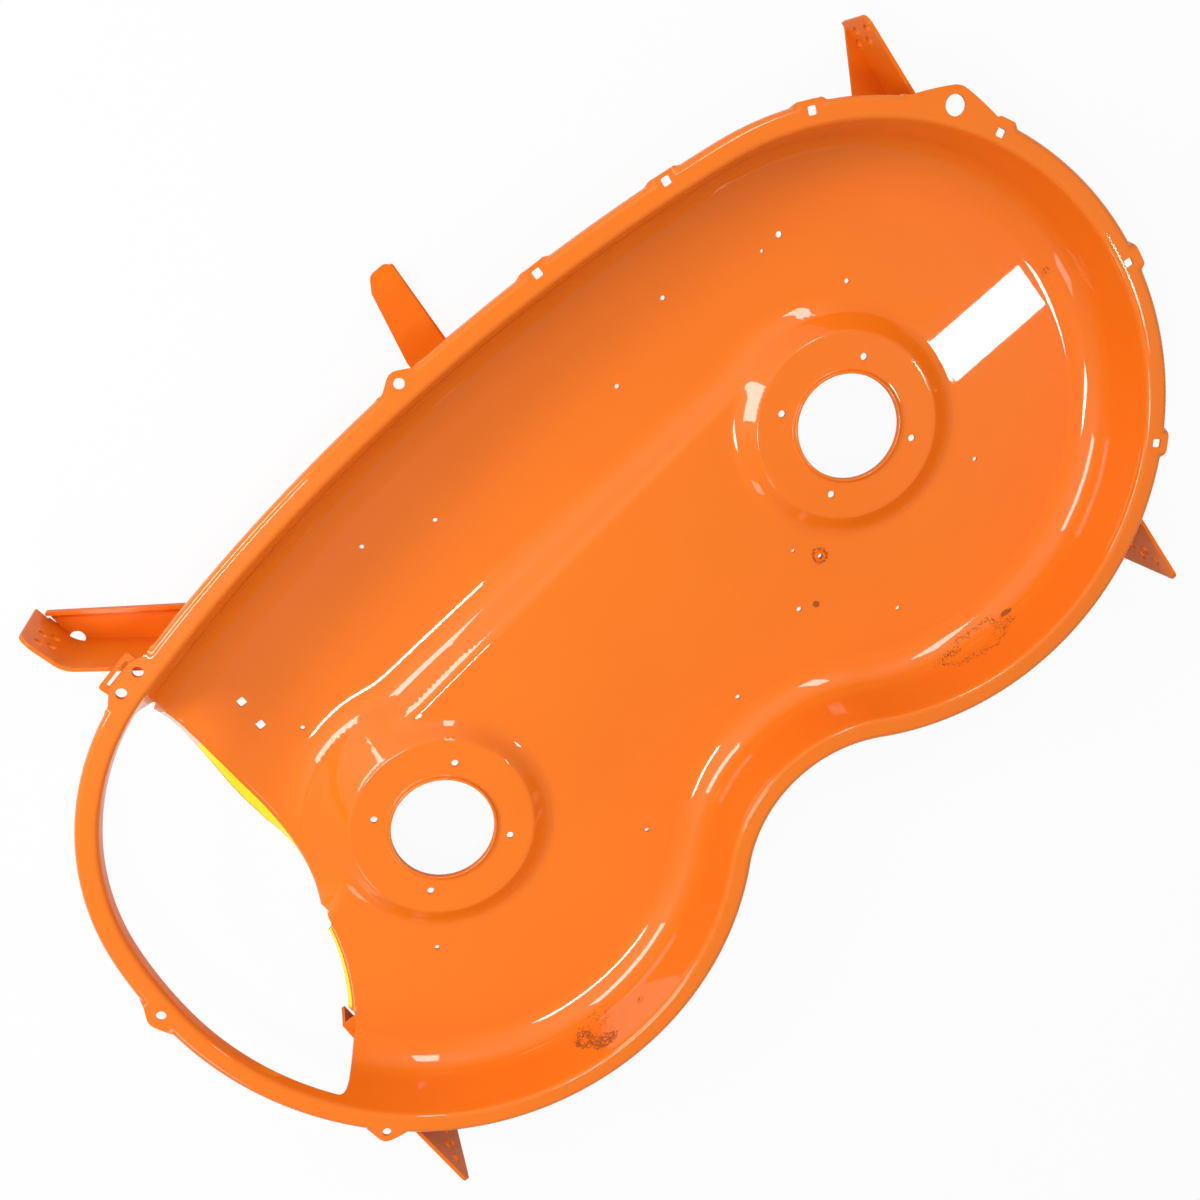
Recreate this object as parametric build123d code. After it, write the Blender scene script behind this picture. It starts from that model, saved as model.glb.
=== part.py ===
from build123d import *
import math
import os

# A two-spindle lawn mower deck, lying on its back with the blade chamber open upward.
# The origin is on the discharge-side spindle bore, in the chamber face of its pad.
# +X points to the discharge side, -Y to the tractor's front and +Z out of the chamber.
# All sizes are in millimetres and degrees.

# The sheet and the plan of the rim
SHEET = 2.8
SPINDLE_SPACING = 540.0
FAR_LOBE_R = 293.0
NEAR_LOBE_R = 292.2
SIDE_R = 334.3
NOSE_R = 459.6
CORNER_R = 251.7
FRONT_R = 1823.0
SIDE_HEADING = 30.1
NOSE_HEADING = -7.4
CORNER_HEADING = -18.2
WAIST_Y = 197.7

# Heights, measured from the chamber face of the spindle pads
RIM_Z = 60.0
PLATEAU_DEPTH = 14.0
TUNNEL_DEPTH = 42.0
REST_DEPTH = 52.0

# The pressed form
FLANGE_WIDTH = 20.0
WALL_DRAFT = 12.0
FLOOR_FILLET = 34.0
TUNNEL_FILLET = 42.0
TUNNEL_LOW_X = 100.0
TUNNEL_FADE_X = -690.0
SLOPE = 40.0
RAMP_Y = -95.0
RAMP_BLEND_R = 150.0
RAMP_END_Y = -12.0
RAMP_END_R = 60.0
PAD_R = 88.0
PAD_EDGE_FILLET = 5.0
PAD_LEDGE = 1.5
TUNNEL_WALL_STEP = 0.05

# The rim flange
RIM_INNER_FILLET = 5.0
RIM_OUTER_FILLET = 6.0
RIM_SKIRT = 9.0

# The spindle seats
BORE_R = 49.5
COLLAR_HEIGHT = 3.5
COLLAR_WALL = 2.6
BOLT_CIRCLE_R = 66.0
BOLT_HOLE_R = 3.4
BOLT_COUNT = 4
BOLT_HEADING = 34.6

# The discharge opening: its edge runs from the front wall past the ramp to the side wall
OPENING_LIP = 14.0
EDGE_FRONT = (87.0, -320.0)
EDGE_TUNNEL = (104.0, -140.0)
EDGE_BEND = (115.5, -78.0)
EDGE_CREASE = (143.0, -12.0)
EDGE_PLATEAU = (169.0, 40.0)
EDGE_REAR = (251.0, 117.0)
TUNNEL_LIP_R = 7.0
TUNNEL_LIP_ANGLE = 60.0
TUNNEL_LIP_FROM_Y = -262.0
TUNNEL_LIP_TO_Y = -72.0
PLATEAU_LIP_R = 5.0
PLATEAU_LIP_ANGLE = 80.0
PLATEAU_LIP_HEIGHT = 10.0
PLATEAU_LIP_FROM_Y = -6.0
PLATEAU_LIP_TO_Y = 78.0
STRIP_THICKNESS = 0.3
STRIP_GAP = 0.05
STRIP_INSET = 1.5

# Ears on the rim: the holes of each, its nose radius and its width at the root.
# A hole is given by the rim's arc that it lies beside, its heading, its distance inside and its radius.
RIM_EARS = [
    ([("far", -146.343, 1.42, 9.3)], 17.0, 96.0),
    ([("front", -93.071, 1.48, 4.9)], 11.0, 44.0),
    ([("front", -82.602, 3.24, 5.0), ("front", -81.856, 2.53, 5.0)], 10.5, 62.0),
    ([("nose", -10.159, 5.91, 4.7)], 14.0, 46.0),
    ([("near", 32.942, 1.1, 4.2)], 10.0, 40.0),
]
EAR_ROOT = 9.0
HINGE_EAR = 2
RIM_SQUARE_HOLES = [
    ("front", -97.748, 4.99),
    ("front", -101.951, 4.37),
    ("far", -120.59, 6.3),
    ("far", -155.945, 10.13),
    ("far", -191.616, 10.41),
    ("far", -226.935, 8.16),
]
SQUARE_SIDE = 7.8
SQUARE_EAR_LENGTH = 14.0
SQUARE_EAR_ROOT = 40.0
SQUARE_EAR_REACH = 3.0

# Holes in the plateau and the tunnel floor
PLATE_HOLES = [
    (-612.9, -172.4, 3.0),
    (-591.7, -172.3, 1.6),
    (-631.8, -95.6, 2.4),
    (-497.2, -205.6, 2.2),
    (-411.6, -176.5, 2.2),
    (-205.0, -207.4, 2.2),
    (-139.9, -238.2, 2.2),
    (25.4, -156.0, 2.2),
    (97.3, 90.5, 2.4),
    (-128.9, 159.3, 2.2),
    (-286.3, 125.8, 2.4),
    (-459.8, 178.6, 2.2),
    (-612.5, 122.4, 2.2),
    (-389.1, 104.9, 2.6),
    (-424.0, 57.0, 1.7),
]
SQUARE_PLATE_HOLES = [(44.6, -215.1), (49.5, -186.8)]

# The weld nut behind the far spindle
NUT_X = -439.1
NUT_Y = 79.8
NUT_R = 5.6
NUT_HOLE_R = 2.6
NUT_HEIGHT = 3.0

# The brackets welded to the outside of the shell; their end plates follow the tractor's axis
BRACKET_SHEET = 3.5
BRACKET_SKEW = 7.2
BRACKET_HOLE_R = 5.0
HOLE_PITCH = 25.0
HOLE_STAGGER = 10.0
HOLE_COLUMNS = 11.0
HOLE_CENTRE_Z = 8.0
BRACKET_TOP_Z = 46.0
REAR_ROOT = 110.0
REAR_FOOT = 26.0
REAR_TIP_R = 10.0
REAR_HOLE_EDGE = 20.0
REAR_LEFT = (-684.5, 250.0)
REAR_LEFT_LENGTH = 90.0
REAR_LEFT_LEAN = 0.0
REAR_RIGHT = (230.0, 190.0)
REAR_RIGHT_LENGTH = 80.0
REAR_RIGHT_LEAN = 8.0
ARM_TIP_R = 10.0
LEFT_ARM_TIP = (-780.4, -267.5)
LEFT_ARM_LENGTH = 110.0
LEFT_ARM_TOP_Z = 36.0
LEFT_HOLE_EDGE = 12.0
LEFT_WEB = [(-778.0, -266.0), (-742.2, -212.9), (-700.0, -154.0), (-763.0, -154.0)]
RIGHT_ARM_PATH = [(40.0, -300.0), (100.0, -362.0), (104.5, -406.0)]
RIGHT_ARM_BEND_R = 28.0
RIGHT_TIP_R = 16.0
RIGHT_WEB = [
    (98.0, -398.0),
    (11.4, -315.6),
    (-40.0, -262.0),
    (-40.0, -225.0),
    (48.0, -225.0),
    (48.0, -306.0),
    (103.0, -360.0),
]
RIGHT_HOLE_EDGE = 15.0
RIGHT_RELIEF = (99.0, -363.0)
RIGHT_SEAM_LENGTH = 40.0
ARM_SEAM = 1.2
ARM_RELIEF_R = 7.5
WEB_LIP = 5.0
HANGER_Z = -37.5
HANGER_NOSE_R = 8.0
HANGER_OUTLINE = [
    (-290.4, -327.3),
    (-311.8, -391.6),
    (-322.0, -404.0),
    (-343.8, -402.3),
    (-328.9, -317.8),
    (-316.0, -240.0),
    (-276.0, -240.0),
]
HANGER_BENT_EDGE = [(-342.0, -396.0), (-318.0, -250.0)]
HINGE_LENGTH = 40.0
HINGE_INNER = 7.0
HINGE_OUTER = 18.0
HINGE_BAR = 4.0
HINGE_SLOT = 3.0
HINGE_SLOT_MARGIN = 6.0
HINGE_CORNER_R = 3.0


def unit(angle):
    """A unit vector in plan at an angle from +X."""
    return Vector(math.cos(math.radians(angle)), math.sin(math.radians(angle)))


def heading(vector):
    """The angle of a plan vector from +X."""
    return math.degrees(math.atan2(vector.Y, vector.X))


def circles_meet(centre_a, radius_a, centre_b, radius_b):
    """The rearmost of the two points where two circles cross."""
    line = centre_b - centre_a
    along = (line.length**2 + radius_a**2 - radius_b**2) / (2 * line.length)
    across = math.sqrt(radius_a**2 - along**2)
    unit_line = line * (1 / line.length)
    side = Vector(-unit_line.Y, unit_line.X)
    points = [centre_a + unit_line * along + side * across * sign for sign in (1, -1)]
    return max(points, key=lambda point: point.Y)


NEAR = Vector(0, 0)
FAR = Vector(-SPINDLE_SPACING, 0)


def rim_arcs():
    """The rim's chain of tangent arcs in plan: centre, radius, first and last heading of each."""
    side = NEAR + unit(SIDE_HEADING) * (NEAR_LOBE_R - SIDE_R)
    nose = side + unit(NOSE_HEADING) * (SIDE_R - NOSE_R)
    corner = nose + unit(CORNER_HEADING) * (NOSE_R - CORNER_R)
    front = circles_meet(corner, FRONT_R - CORNER_R, FAR, FRONT_R - FAR_LOBE_R)
    half = SPINDLE_SPACING / 2
    waist_r = (half**2 + WAIST_Y**2 - NEAR_LOBE_R**2) / (2 * NEAR_LOBE_R - 2 * WAIST_Y)
    waist = circles_meet(NEAR, NEAR_LOBE_R + waist_r, FAR, FAR_LOBE_R + waist_r)
    to_corner = heading(corner - front)
    to_far = heading(FAR - front)
    return {
        "near": (NEAR, NEAR_LOBE_R, heading(waist - NEAR), SIDE_HEADING),
        "side": (side, SIDE_R, SIDE_HEADING, NOSE_HEADING),
        "nose": (nose, NOSE_R, NOSE_HEADING, CORNER_HEADING),
        "corner": (corner, CORNER_R, CORNER_HEADING, to_corner),
        "front": (front, FRONT_R, to_corner, to_far),
        "far": (FAR, FAR_LOBE_R, to_far, heading(waist - FAR) - 360),
        "waist": (waist, waist_r, heading(FAR - waist), heading(NEAR - waist)),
    }


def rim_face(inset):
    """The plan inside the rim, moved inward by inset."""
    edges = []
    for name, (centre, radius, start, end) in rim_arcs().items():
        size = radius + inset if name == "waist" else radius - inset
        edges.append(CenterArc((centre.X, centre.Y), size, start, end - start))
    return make_face(edges)


def beside_rim(arc, angle, inset):
    """The place beside one of the rim's arcs, by its heading and its distance inside the rim."""
    centre, radius, _, _ = rim_arcs()[arc]
    return centre + unit(angle) * (radius - inset)


def ramp_face(setback):
    """The plan in front of the ramp that leads down to the tunnel, moved rearward by setback."""
    round_r = PAD_R + PLATEAU_DEPTH / math.tan(math.radians(SLOPE)) + PAD_LEDGE - setback
    line_y = RAMP_Y + setback
    blend_r = RAMP_BLEND_R + setback
    blend_y = line_y - blend_r
    blend_x = math.sqrt((round_r + blend_r) ** 2 - blend_y**2)
    end_y = RAMP_END_Y + setback
    end_r = RAMP_END_R + setback
    turn_y = end_y - end_r
    turn_x = math.sqrt((round_r + end_r) ** 2 - turn_y**2)
    leave = heading(Vector(turn_x, turn_y))
    join = heading(Vector(-blend_x, blend_y)) % 360 - 360
    reach = 900.0
    half = SPINDLE_SPACING / 2
    right = [
        Line((half + reach, end_y), (half + turn_x, end_y)),
        CenterArc((half + turn_x, turn_y), end_r, 90, 90 + leave),
        CenterArc((half, 0), round_r, leave, join - leave),
        CenterArc((half - blend_x, blend_y), blend_r, join + 180, 90 - (join + 180)),
        Line((half - blend_x, line_y), (0, line_y)),
    ]
    left = [edge.mirror(Plane.YZ) for edge in right]
    corner = (half + reach, -reach)
    outside = Polyline((half + reach, end_y), corner, (-corner[0], corner[1]), (-half - reach, end_y))
    outline = Wire(right + left + list(outside.edges()))
    return Pos(-half, 0, 0) * make_face(outline)


def below_tunnel_floor(grow):
    """Everything under the tunnel floor, which rises toward the far spindle on one long arc."""
    run = TUNNEL_LOW_X - TUNNEL_FADE_X
    rise = TUNNEL_DEPTH - PLATEAU_DEPTH
    radius = (run**2 + rise**2) / (2 * rise) + grow
    arc_z = radius - TUNNEL_DEPTH - grow
    spread = math.degrees(math.asin(1100 / radius))
    arc = CenterArc((TUNNEL_LOW_X, arc_z), radius, -90 - spread, 2 * spread)
    start, end = arc @ 0, arc @ 1
    deep = -4 * TUNNEL_DEPTH
    profile = make_face(arc + Polyline(end, (end.X, deep), (start.X, deep), start))
    return extrude(Plane.XZ * profile, amount=1200, both=True)


def pad(centre, grow):
    """The raised cone that carries a spindle, grown toward the chamber's outside by grow."""
    lean = grow * math.tan(math.radians(SLOPE / 2))
    foot_r = PAD_R + PLATEAU_DEPTH / math.tan(math.radians(SLOPE))
    low = -PLATEAU_DEPTH - grow
    cone = Cone(foot_r - lean, PAD_R - lean, PLATEAU_DEPTH, align=(Align.CENTER, Align.CENTER, Align.MIN))
    top = cone.edges().sort_by(Axis.Z)[-1]
    cone = fillet(top, PAD_EDGE_FILLET - grow * 0.5)
    return Pos(centre.X, centre.Y, low) * cone


def drafted(inset, depth):
    """The volume inside the rim's plan, which narrows with the walls' draft down to a depth."""
    lean = (RIM_Z + depth) * math.tan(math.radians(WALL_DRAFT))
    return loft([Pos(0, 0, RIM_Z) * rim_face(inset), Pos(0, 0, -depth) * rim_face(inset + lean)], ruled=True)


def pressed_form(grow):
    """The volume that the pressed sheet encloses, with its faces moved outward by grow."""
    inset = FLANGE_WIDTH - grow / math.cos(math.radians(WALL_DRAFT))
    bowl = drafted(inset, PLATEAU_DEPTH + grow)
    bowl = fillet(bowl.faces().sort_by(Axis.Z)[0].edges(), FLOOR_FILLET + grow)
    deep = drafted(inset + TUNNEL_WALL_STEP, 2 * TUNNEL_DEPTH)

    # The ramp's cone and flats are drawn between a high and a low outline
    cotangent = 1 / math.tan(math.radians(SLOPE))
    lean = grow * math.tan(math.radians(SLOPE / 2))
    high = RIM_Z - 20.0
    low = -TUNNEL_DEPTH - 10.0
    high_face = Pos(0, 0, high) * ramp_face((high + PLATEAU_DEPTH + grow) * cotangent + lean)
    low_face = Pos(0, 0, low) * ramp_face((low + PLATEAU_DEPTH + grow) * cotangent + lean)
    tunnel = (deep & loft([low_face, high_face], ruled=True)) - below_tunnel_floor(grow)
    tunnel = tunnel.solids()[0]
    round_faces = tunnel.faces().filter_by(lambda face: face.geom_type == GeomType.CYLINDER)
    floor = round_faces.sort_by(SortBy.AREA)[-1]
    corners = [edge for edge in tunnel.edges() if is_corner(edge, tunnel, high)]
    tunnel = fillet(list(floor.edges()) + corners, TUNNEL_FILLET + grow)

    form = bowl + tunnel
    for centre in (NEAR, FAR):
        form -= pad(centre, grow)
    return form


def is_corner(edge, body, high):
    """Whether an edge climbs to the level high and parts two faces at a sharp angle."""
    climbs = abs(edge.position_at(0).Z - edge.position_at(1).Z) > RIM_Z / 4
    if not climbs or abs(edge.bounding_box().max.Z - high) > 1:
        return False
    middle = edge.position_at(0.5)
    sides = [face for face in body.faces() if any(edge.is_same(other) for other in face.edges())]
    return len(sides) == 2 and sides[0].normal_at(middle).get_angle(sides[1].normal_at(middle)) > 20


def above(face, low, high):
    """A plan face as a solid between two heights."""
    return extrude(Plane.XY.offset(low) * face, amount=high - low)


def ear_face(holes, nose_r, root):
    """An ear in plan: the hull of its rounded nose and of its root in the flange."""
    points = [beside_rim(arc, angle, inset) for arc, angle, inset, _ in holes]
    middle = sum(points, Vector(0, 0)) * (1 / len(points))
    away = unit(holes[0][1])
    along = Vector(-away.Y, away.X)
    if len(points) > 1:
        along = (points[1] - points[0]).normalized()
        away = Vector(along.Y, -along.X)
    inner = middle - away * EAR_ROOT
    noses = [edge for point in points for edge in (Pos(point.X, point.Y) * Circle(nose_r)).edges()]
    return make_hull(noses + [Line(inner - along * (root / 2), inner + along * (root / 2))])


def square_ear(arc, angle, inset):
    """A low flat ear in plan around a square hole, a little outside the rim."""
    middle = beside_rim(arc, angle, inset)
    nose, root, reach = SQUARE_EAR_LENGTH / 2, SQUARE_EAR_ROOT / 2, FLANGE_WIDTH
    outline = Polyline((-root, -EAR_ROOT), (root, -EAR_ROOT), (nose, reach), (-nose, reach), close=True)
    ear = Pos(middle.X, middle.Y) * Rot(0, 0, angle - 90) * make_face(outline)
    return ear & rim_face(-SQUARE_EAR_REACH)


def rim_holes():
    """The cutters of all holes in the rim, square and round."""
    low, high = RIM_Z - 2 * SHEET, RIM_Z + SHEET
    cutters = []
    for holes, _, _ in RIM_EARS:
        for arc, angle, inset, radius in holes:
            place = beside_rim(arc, angle, inset)
            cutters.append(above(Pos(place.X, place.Y) * Circle(radius), low, high))
    square = Rectangle(SQUARE_SIDE, SQUARE_SIDE)
    for arc, angle, inset in RIM_SQUARE_HOLES:
        place = beside_rim(arc, angle, inset)
        cutters.append(above(Pos(place.X, place.Y) * Rot(0, 0, angle) * square, low, high))
    return cutters


def flange():
    """The rim's flat flange with its turned-down edge and the flat ears around its holes."""
    outline = rim_face(0)
    inside = rim_face(SHEET)
    ring = above(outline, RIM_Z - SHEET, RIM_Z)
    skirt = above(outline, RIM_Z - RIM_SKIRT, RIM_Z) - above(inside, RIM_Z - RIM_SKIRT, RIM_Z)
    rolled = ring + skirt
    rolled = fillet(rolled.faces().sort_by(Axis.Z)[-1].edges(), RIM_OUTER_FILLET)
    for holes, nose_r, root in RIM_EARS:
        ear = ear_face(holes, nose_r, root)
        rolled -= above(ear, RIM_Z - RIM_SKIRT, RIM_Z - SHEET)
        rolled += above(ear, RIM_Z - SHEET, RIM_Z)
    for hole in RIM_SQUARE_HOLES:
        rolled += above(square_ear(*hole), RIM_Z - SHEET, RIM_Z)
    return rolled


def spindle_seat(centre):
    """What a spindle seat cuts, its bore and bolt holes, and the collar that it adds."""
    low, high = -TUNNEL_DEPTH, COLLAR_HEIGHT
    cut = above(Pos(centre.X, centre.Y) * Circle(BORE_R), low, high + 1)
    for index in range(BOLT_COUNT):
        place = centre + unit(BOLT_HEADING + index * 360 / BOLT_COUNT) * BOLT_CIRCLE_R
        cut += above(Pos(place.X, place.Y) * Circle(BOLT_HOLE_R), low, high + 1)
    collar = above(Pos(centre.X, centre.Y) * Circle(BORE_R + COLLAR_WALL), -SHEET / 2, COLLAR_HEIGHT)
    collar = fillet(collar.faces().sort_by(Axis.Z)[-1].edges(), COLLAR_WALL / 2)
    return cut, collar


def edge_curves():
    """The discharge opening's edge in plan: along the tunnel floor, then along the plateau."""
    tunnel = Line(EDGE_FRONT, EDGE_TUNNEL) + ThreePointArc(EDGE_TUNNEL, EDGE_BEND, EDGE_CREASE)
    plateau = ThreePointArc(EDGE_CREASE, EDGE_PLATEAU, EDGE_REAR)
    return tunnel, plateau


def discharge_cut():
    """The volume cut away for the discharge opening, below the lip that stays along the rim."""
    tunnel, plateau = edge_curves()
    far_x = NEAR_LOBE_R + 100
    corners = [(far_x, EDGE_REAR[1] + 60), (far_x, -far_x), (EDGE_FRONT[0], -far_x)]
    outside = Polyline(EDGE_REAR, *corners, EDGE_FRONT)
    outline = Wire(list(tunnel.edges()) + list(plateau.edges()) + list(outside.edges()))
    return above(make_face(outline), -2 * REST_DEPTH, RIM_Z - OPENING_LIP)


def trimmed(curve, from_y, to_y):
    """The stretch of an edge curve between two values of Y, as one wire."""
    edges = []
    for edge in curve.edges():
        low, high = sorted((edge @ 0, edge @ 1), key=lambda point: point.Y)
        if high.Y <= from_y or low.Y >= to_y:
            continue
        band = Pos(0, (from_y + to_y) / 2) * Rectangle(2000, to_y - from_y)
        edges += list((edge & band).edges())
    return Wire(edges)


def lip_section(radius, angle, drop, start, low, high):
    """The section of a bent edge: a band between two depths of the sheet, bent about one centre."""
    turn = math.radians(angle)
    straight = (drop - radius * (1 - math.cos(turn))) / math.sin(turn)
    outer, inner = radius - low, radius - high

    def arc_point(size, at):
        return (size * math.sin(at), -radius + size * math.cos(at))

    def end_point(size):
        x, y = arc_point(size, turn)
        return (x + straight * math.cos(turn), y - straight * math.sin(turn))

    begin = math.radians(start)
    halfway = (begin + turn) / 2
    upper = ThreePointArc(arc_point(outer, begin), arc_point(outer, halfway), arc_point(outer, turn))
    lower = ThreePointArc(arc_point(inner, begin), arc_point(inner, halfway), arc_point(inner, turn))
    sides = [
        Line(upper @ 1, end_point(outer)),
        Line(end_point(outer), end_point(inner)),
        Line(end_point(inner), lower @ 1),
        Line(lower @ 0, upper @ 0),
    ]
    return make_face([upper, lower] + sides)


def along_edge(section, path, level):
    """A lip section swept along a stretch of the opening's edge at a height."""
    start = path @ 0
    tangent = path % 0
    if (path @ 1).Y < start.Y:
        start, tangent = path @ 1, (path % 1) * -1
    plane = Plane(origin=(start.X, start.Y, level), x_dir=(tangent.Y, -tangent.X, 0), z_dir=tangent * -1)
    return sweep(plane * section, path=Pos(0, 0, level) * path)


def tunnel_lip_drop():
    """How far the tunnel lip's chamber face drops, so that its free edge rests on the ground."""
    return REST_DEPTH - TUNNEL_DEPTH - SHEET * math.cos(math.radians(TUNNEL_LIP_ANGLE))


def tunnel_lip(low, high, start, trim):
    """A band of the lip along the tunnel floor, shortened at both ends by trim."""
    drop = tunnel_lip_drop() - (trim / 2 if trim else 0)
    section = lip_section(TUNNEL_LIP_R, TUNNEL_LIP_ANGLE, drop, start, low, high)
    path = trimmed(edge_curves()[0], TUNNEL_LIP_FROM_Y + trim, TUNNEL_LIP_TO_Y - trim)
    return along_edge(section, path, -TUNNEL_DEPTH)


def plateau_lip(low, high, start, trim):
    """A band of the lip along the plateau, shortened at both ends by trim."""
    drop = PLATEAU_LIP_HEIGHT - (trim / 2 if trim else 0)
    section = lip_section(PLATEAU_LIP_R, PLATEAU_LIP_ANGLE, drop, start, low, high)
    path = trimmed(edge_curves()[1], PLATEAU_LIP_FROM_Y + trim, PLATEAU_LIP_TO_Y - trim)
    return along_edge(section, path, -PLATEAU_DEPTH)


def floor_holes():
    """The cutters of the small holes in the plateau and the tunnel floor."""
    low, high = -REST_DEPTH, -SHEET
    cutters = [above(Pos(x, y) * Circle(radius), low, high) for x, y, radius in PLATE_HOLES]
    cutters.append(above(Pos(NUT_X, NUT_Y) * Circle(NUT_HOLE_R), low, high))
    square = Rot(0, 0, -BRACKET_SKEW) * Rectangle(SQUARE_SIDE, SQUARE_SIDE)
    cutters += [above(Pos(x, y) * square, low, high) for x, y in SQUARE_PLATE_HOLES]
    return cutters


def deck_shell(inner, outer):
    """The one stamped sheet: pressed form, flange, opening with its lips, seats and holes."""
    shell = (outer + flange()) - inner
    rim_faces = shell.faces().filter_by(Plane.XY).group_by(Axis.Z)[-1]
    mouth = [edge for face in rim_faces for edge in face.edges() if on_mouth(edge)]
    shell = fillet(mouth, RIM_INNER_FILLET)
    shell -= discharge_cut()
    shell += tunnel_lip(0, SHEET, 0, 0)
    shell += plateau_lip(0, SHEET, 0, 0)
    for centre in (NEAR, FAR):
        cut, collar = spindle_seat(centre)
        shell = shell + collar - cut
    for cutter in rim_holes() + floor_holes():
        shell -= cutter
    return shell


def on_mouth(edge):
    """Whether an edge at rim height lies on the chamber's mouth."""
    middle = edge @ 0.5
    probe = Pos(middle.X, middle.Y) * Circle(1.0)
    return (rim_face(FLANGE_WIDTH) & probe).area > 0.5 and (rim_face(FLANGE_WIDTH + 0.9) & probe).area < 0.5


def weld_nut():
    """The small nut welded into the plateau behind the far spindle."""
    ring = above(Pos(NUT_X, NUT_Y) * Circle(NUT_R), -PLATEAU_DEPTH, -PLATEAU_DEPTH + NUT_HEIGHT)
    ring = chamfer(ring.faces().sort_by(Axis.Z)[-1].edges(), 1.0)
    return ring - above(Pos(NUT_X, NUT_Y) * Circle(NUT_HOLE_R), -2 * PLATEAU_DEPTH, 0)


def plate_side(profile_face, x, y):
    """An upright plate along the tractor's axis: its side view drawn over distance rearward and Z."""
    plane = Plane(origin=(x, y, 0), x_dir=skewed(0, 1), z_dir=skewed(1, 0))
    return extrude(plane * profile_face, amount=BRACKET_SHEET)


def skewed(across, rearward):
    """A direction in the tractor's own frame, across to the right and rearward."""
    turn = math.radians(BRACKET_SKEW)
    cosine, sine = math.cos(turn), math.sin(turn)
    return Vector(across * cosine + rearward * sine, rearward * cosine - across * sine, 0)


def bolt_holes(x, y, along, end, toward):
    """The four staggered holes of an end plate, square to it.

    along is the plate's direction rearward, and end the distance to the outer column.
    """
    through = Vector(along.Y, -along.X)
    start = Vector(x, y) - through * (2 * BRACKET_SHEET)
    cutters = []
    for column in (0, 1):
        for row in (-1, 1):
            distance = end + toward * column * HOLE_COLUMNS
            z = HOLE_CENTRE_Z + HOLE_STAGGER * (0.5 - column) + row * HOLE_PITCH / 2
            place = start + along * distance
            plane = Plane(origin=(place.X, place.Y, z), z_dir=through)
            cutters.append(extrude(plane * Circle(BRACKET_HOLE_R), amount=5 * BRACKET_SHEET))
    return cutters


def rear_bracket(x, y, length, lean, outer):
    """A rear wheel bracket: an end plate standing off the rear wall and a foot on the plateau."""
    low, top = -REST_DEPTH, BRACKET_TOP_Z
    back = length - lean
    side = make_face(Polyline((-REAR_ROOT, low), (back, low), (length, top), (-REAR_ROOT, top), close=True))
    side = fillet(side.vertices().sort_by(Axis.X)[-1], REAR_TIP_R)
    plate = plate_side(side, x, y)
    under = -PLATEAU_DEPTH - SHEET
    sign = 1 if x < FAR.X / 2 else -1
    foot_plane = Plane(origin=(x, y, under - BRACKET_SHEET), x_dir=skewed(1, 0), z_dir=(0, 0, 1))
    middle = sign * REAR_FOOT / 2 + (BRACKET_SHEET if sign > 0 else 0)
    foot_face = foot_plane * Pos(middle, -REAR_ROOT / 2) * Rectangle(REAR_FOOT, REAR_ROOT)
    foot = extrude(foot_face, amount=BRACKET_SHEET)
    bracket = plate + foot - outer
    for cutter in bolt_holes(x, y, skewed(0, 1), length - REAR_HOLE_EDGE, -1):
        bracket -= cutter
    return bracket.solids().sort_by(SortBy.VOLUME)[-1]


def front_left_bracket(outer):
    """The left front arm: a web on the plateau's outside and an upright end plate."""
    x, y = LEFT_ARM_TIP
    under = -PLATEAU_DEPTH - SHEET
    low = under - BRACKET_SHEET
    length, top = LEFT_ARM_LENGTH, LEFT_ARM_TOP_Z
    face = make_face(Polyline((0, low), (length, low), (length, top), (0, top), close=True))
    tip = [corner for corner in face.vertices() if corner.X < 1 and corner.Y > 0]
    plate = plate_side(fillet(tip, ARM_TIP_R), x, y)
    web = Polyline(*LEFT_WEB, close=True)
    arm = plate + above(make_face(web), low, under) - outer
    for cutter in bolt_holes(x, y, skewed(0, 1), LEFT_HOLE_EDGE, 1):
        arm -= cutter
    return arm.solids().sort_by(SortBy.VOLUME)[-1]


def tip_rounding(x, y):
    """The cutter that rounds the top corner of the right front arm's end."""
    end = y - BRACKET_SHEET / 2
    inner = Pos(end + RIGHT_TIP_R, BRACKET_TOP_Z - RIGHT_TIP_R)
    nook = Pos(end, BRACKET_TOP_Z) * Rectangle(2 * RIGHT_TIP_R, 2 * RIGHT_TIP_R) - inner * Circle(RIGHT_TIP_R)
    return extrude(Plane.YZ.offset(x) * nook, amount=4 * BRACKET_SHEET, both=True)


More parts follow.
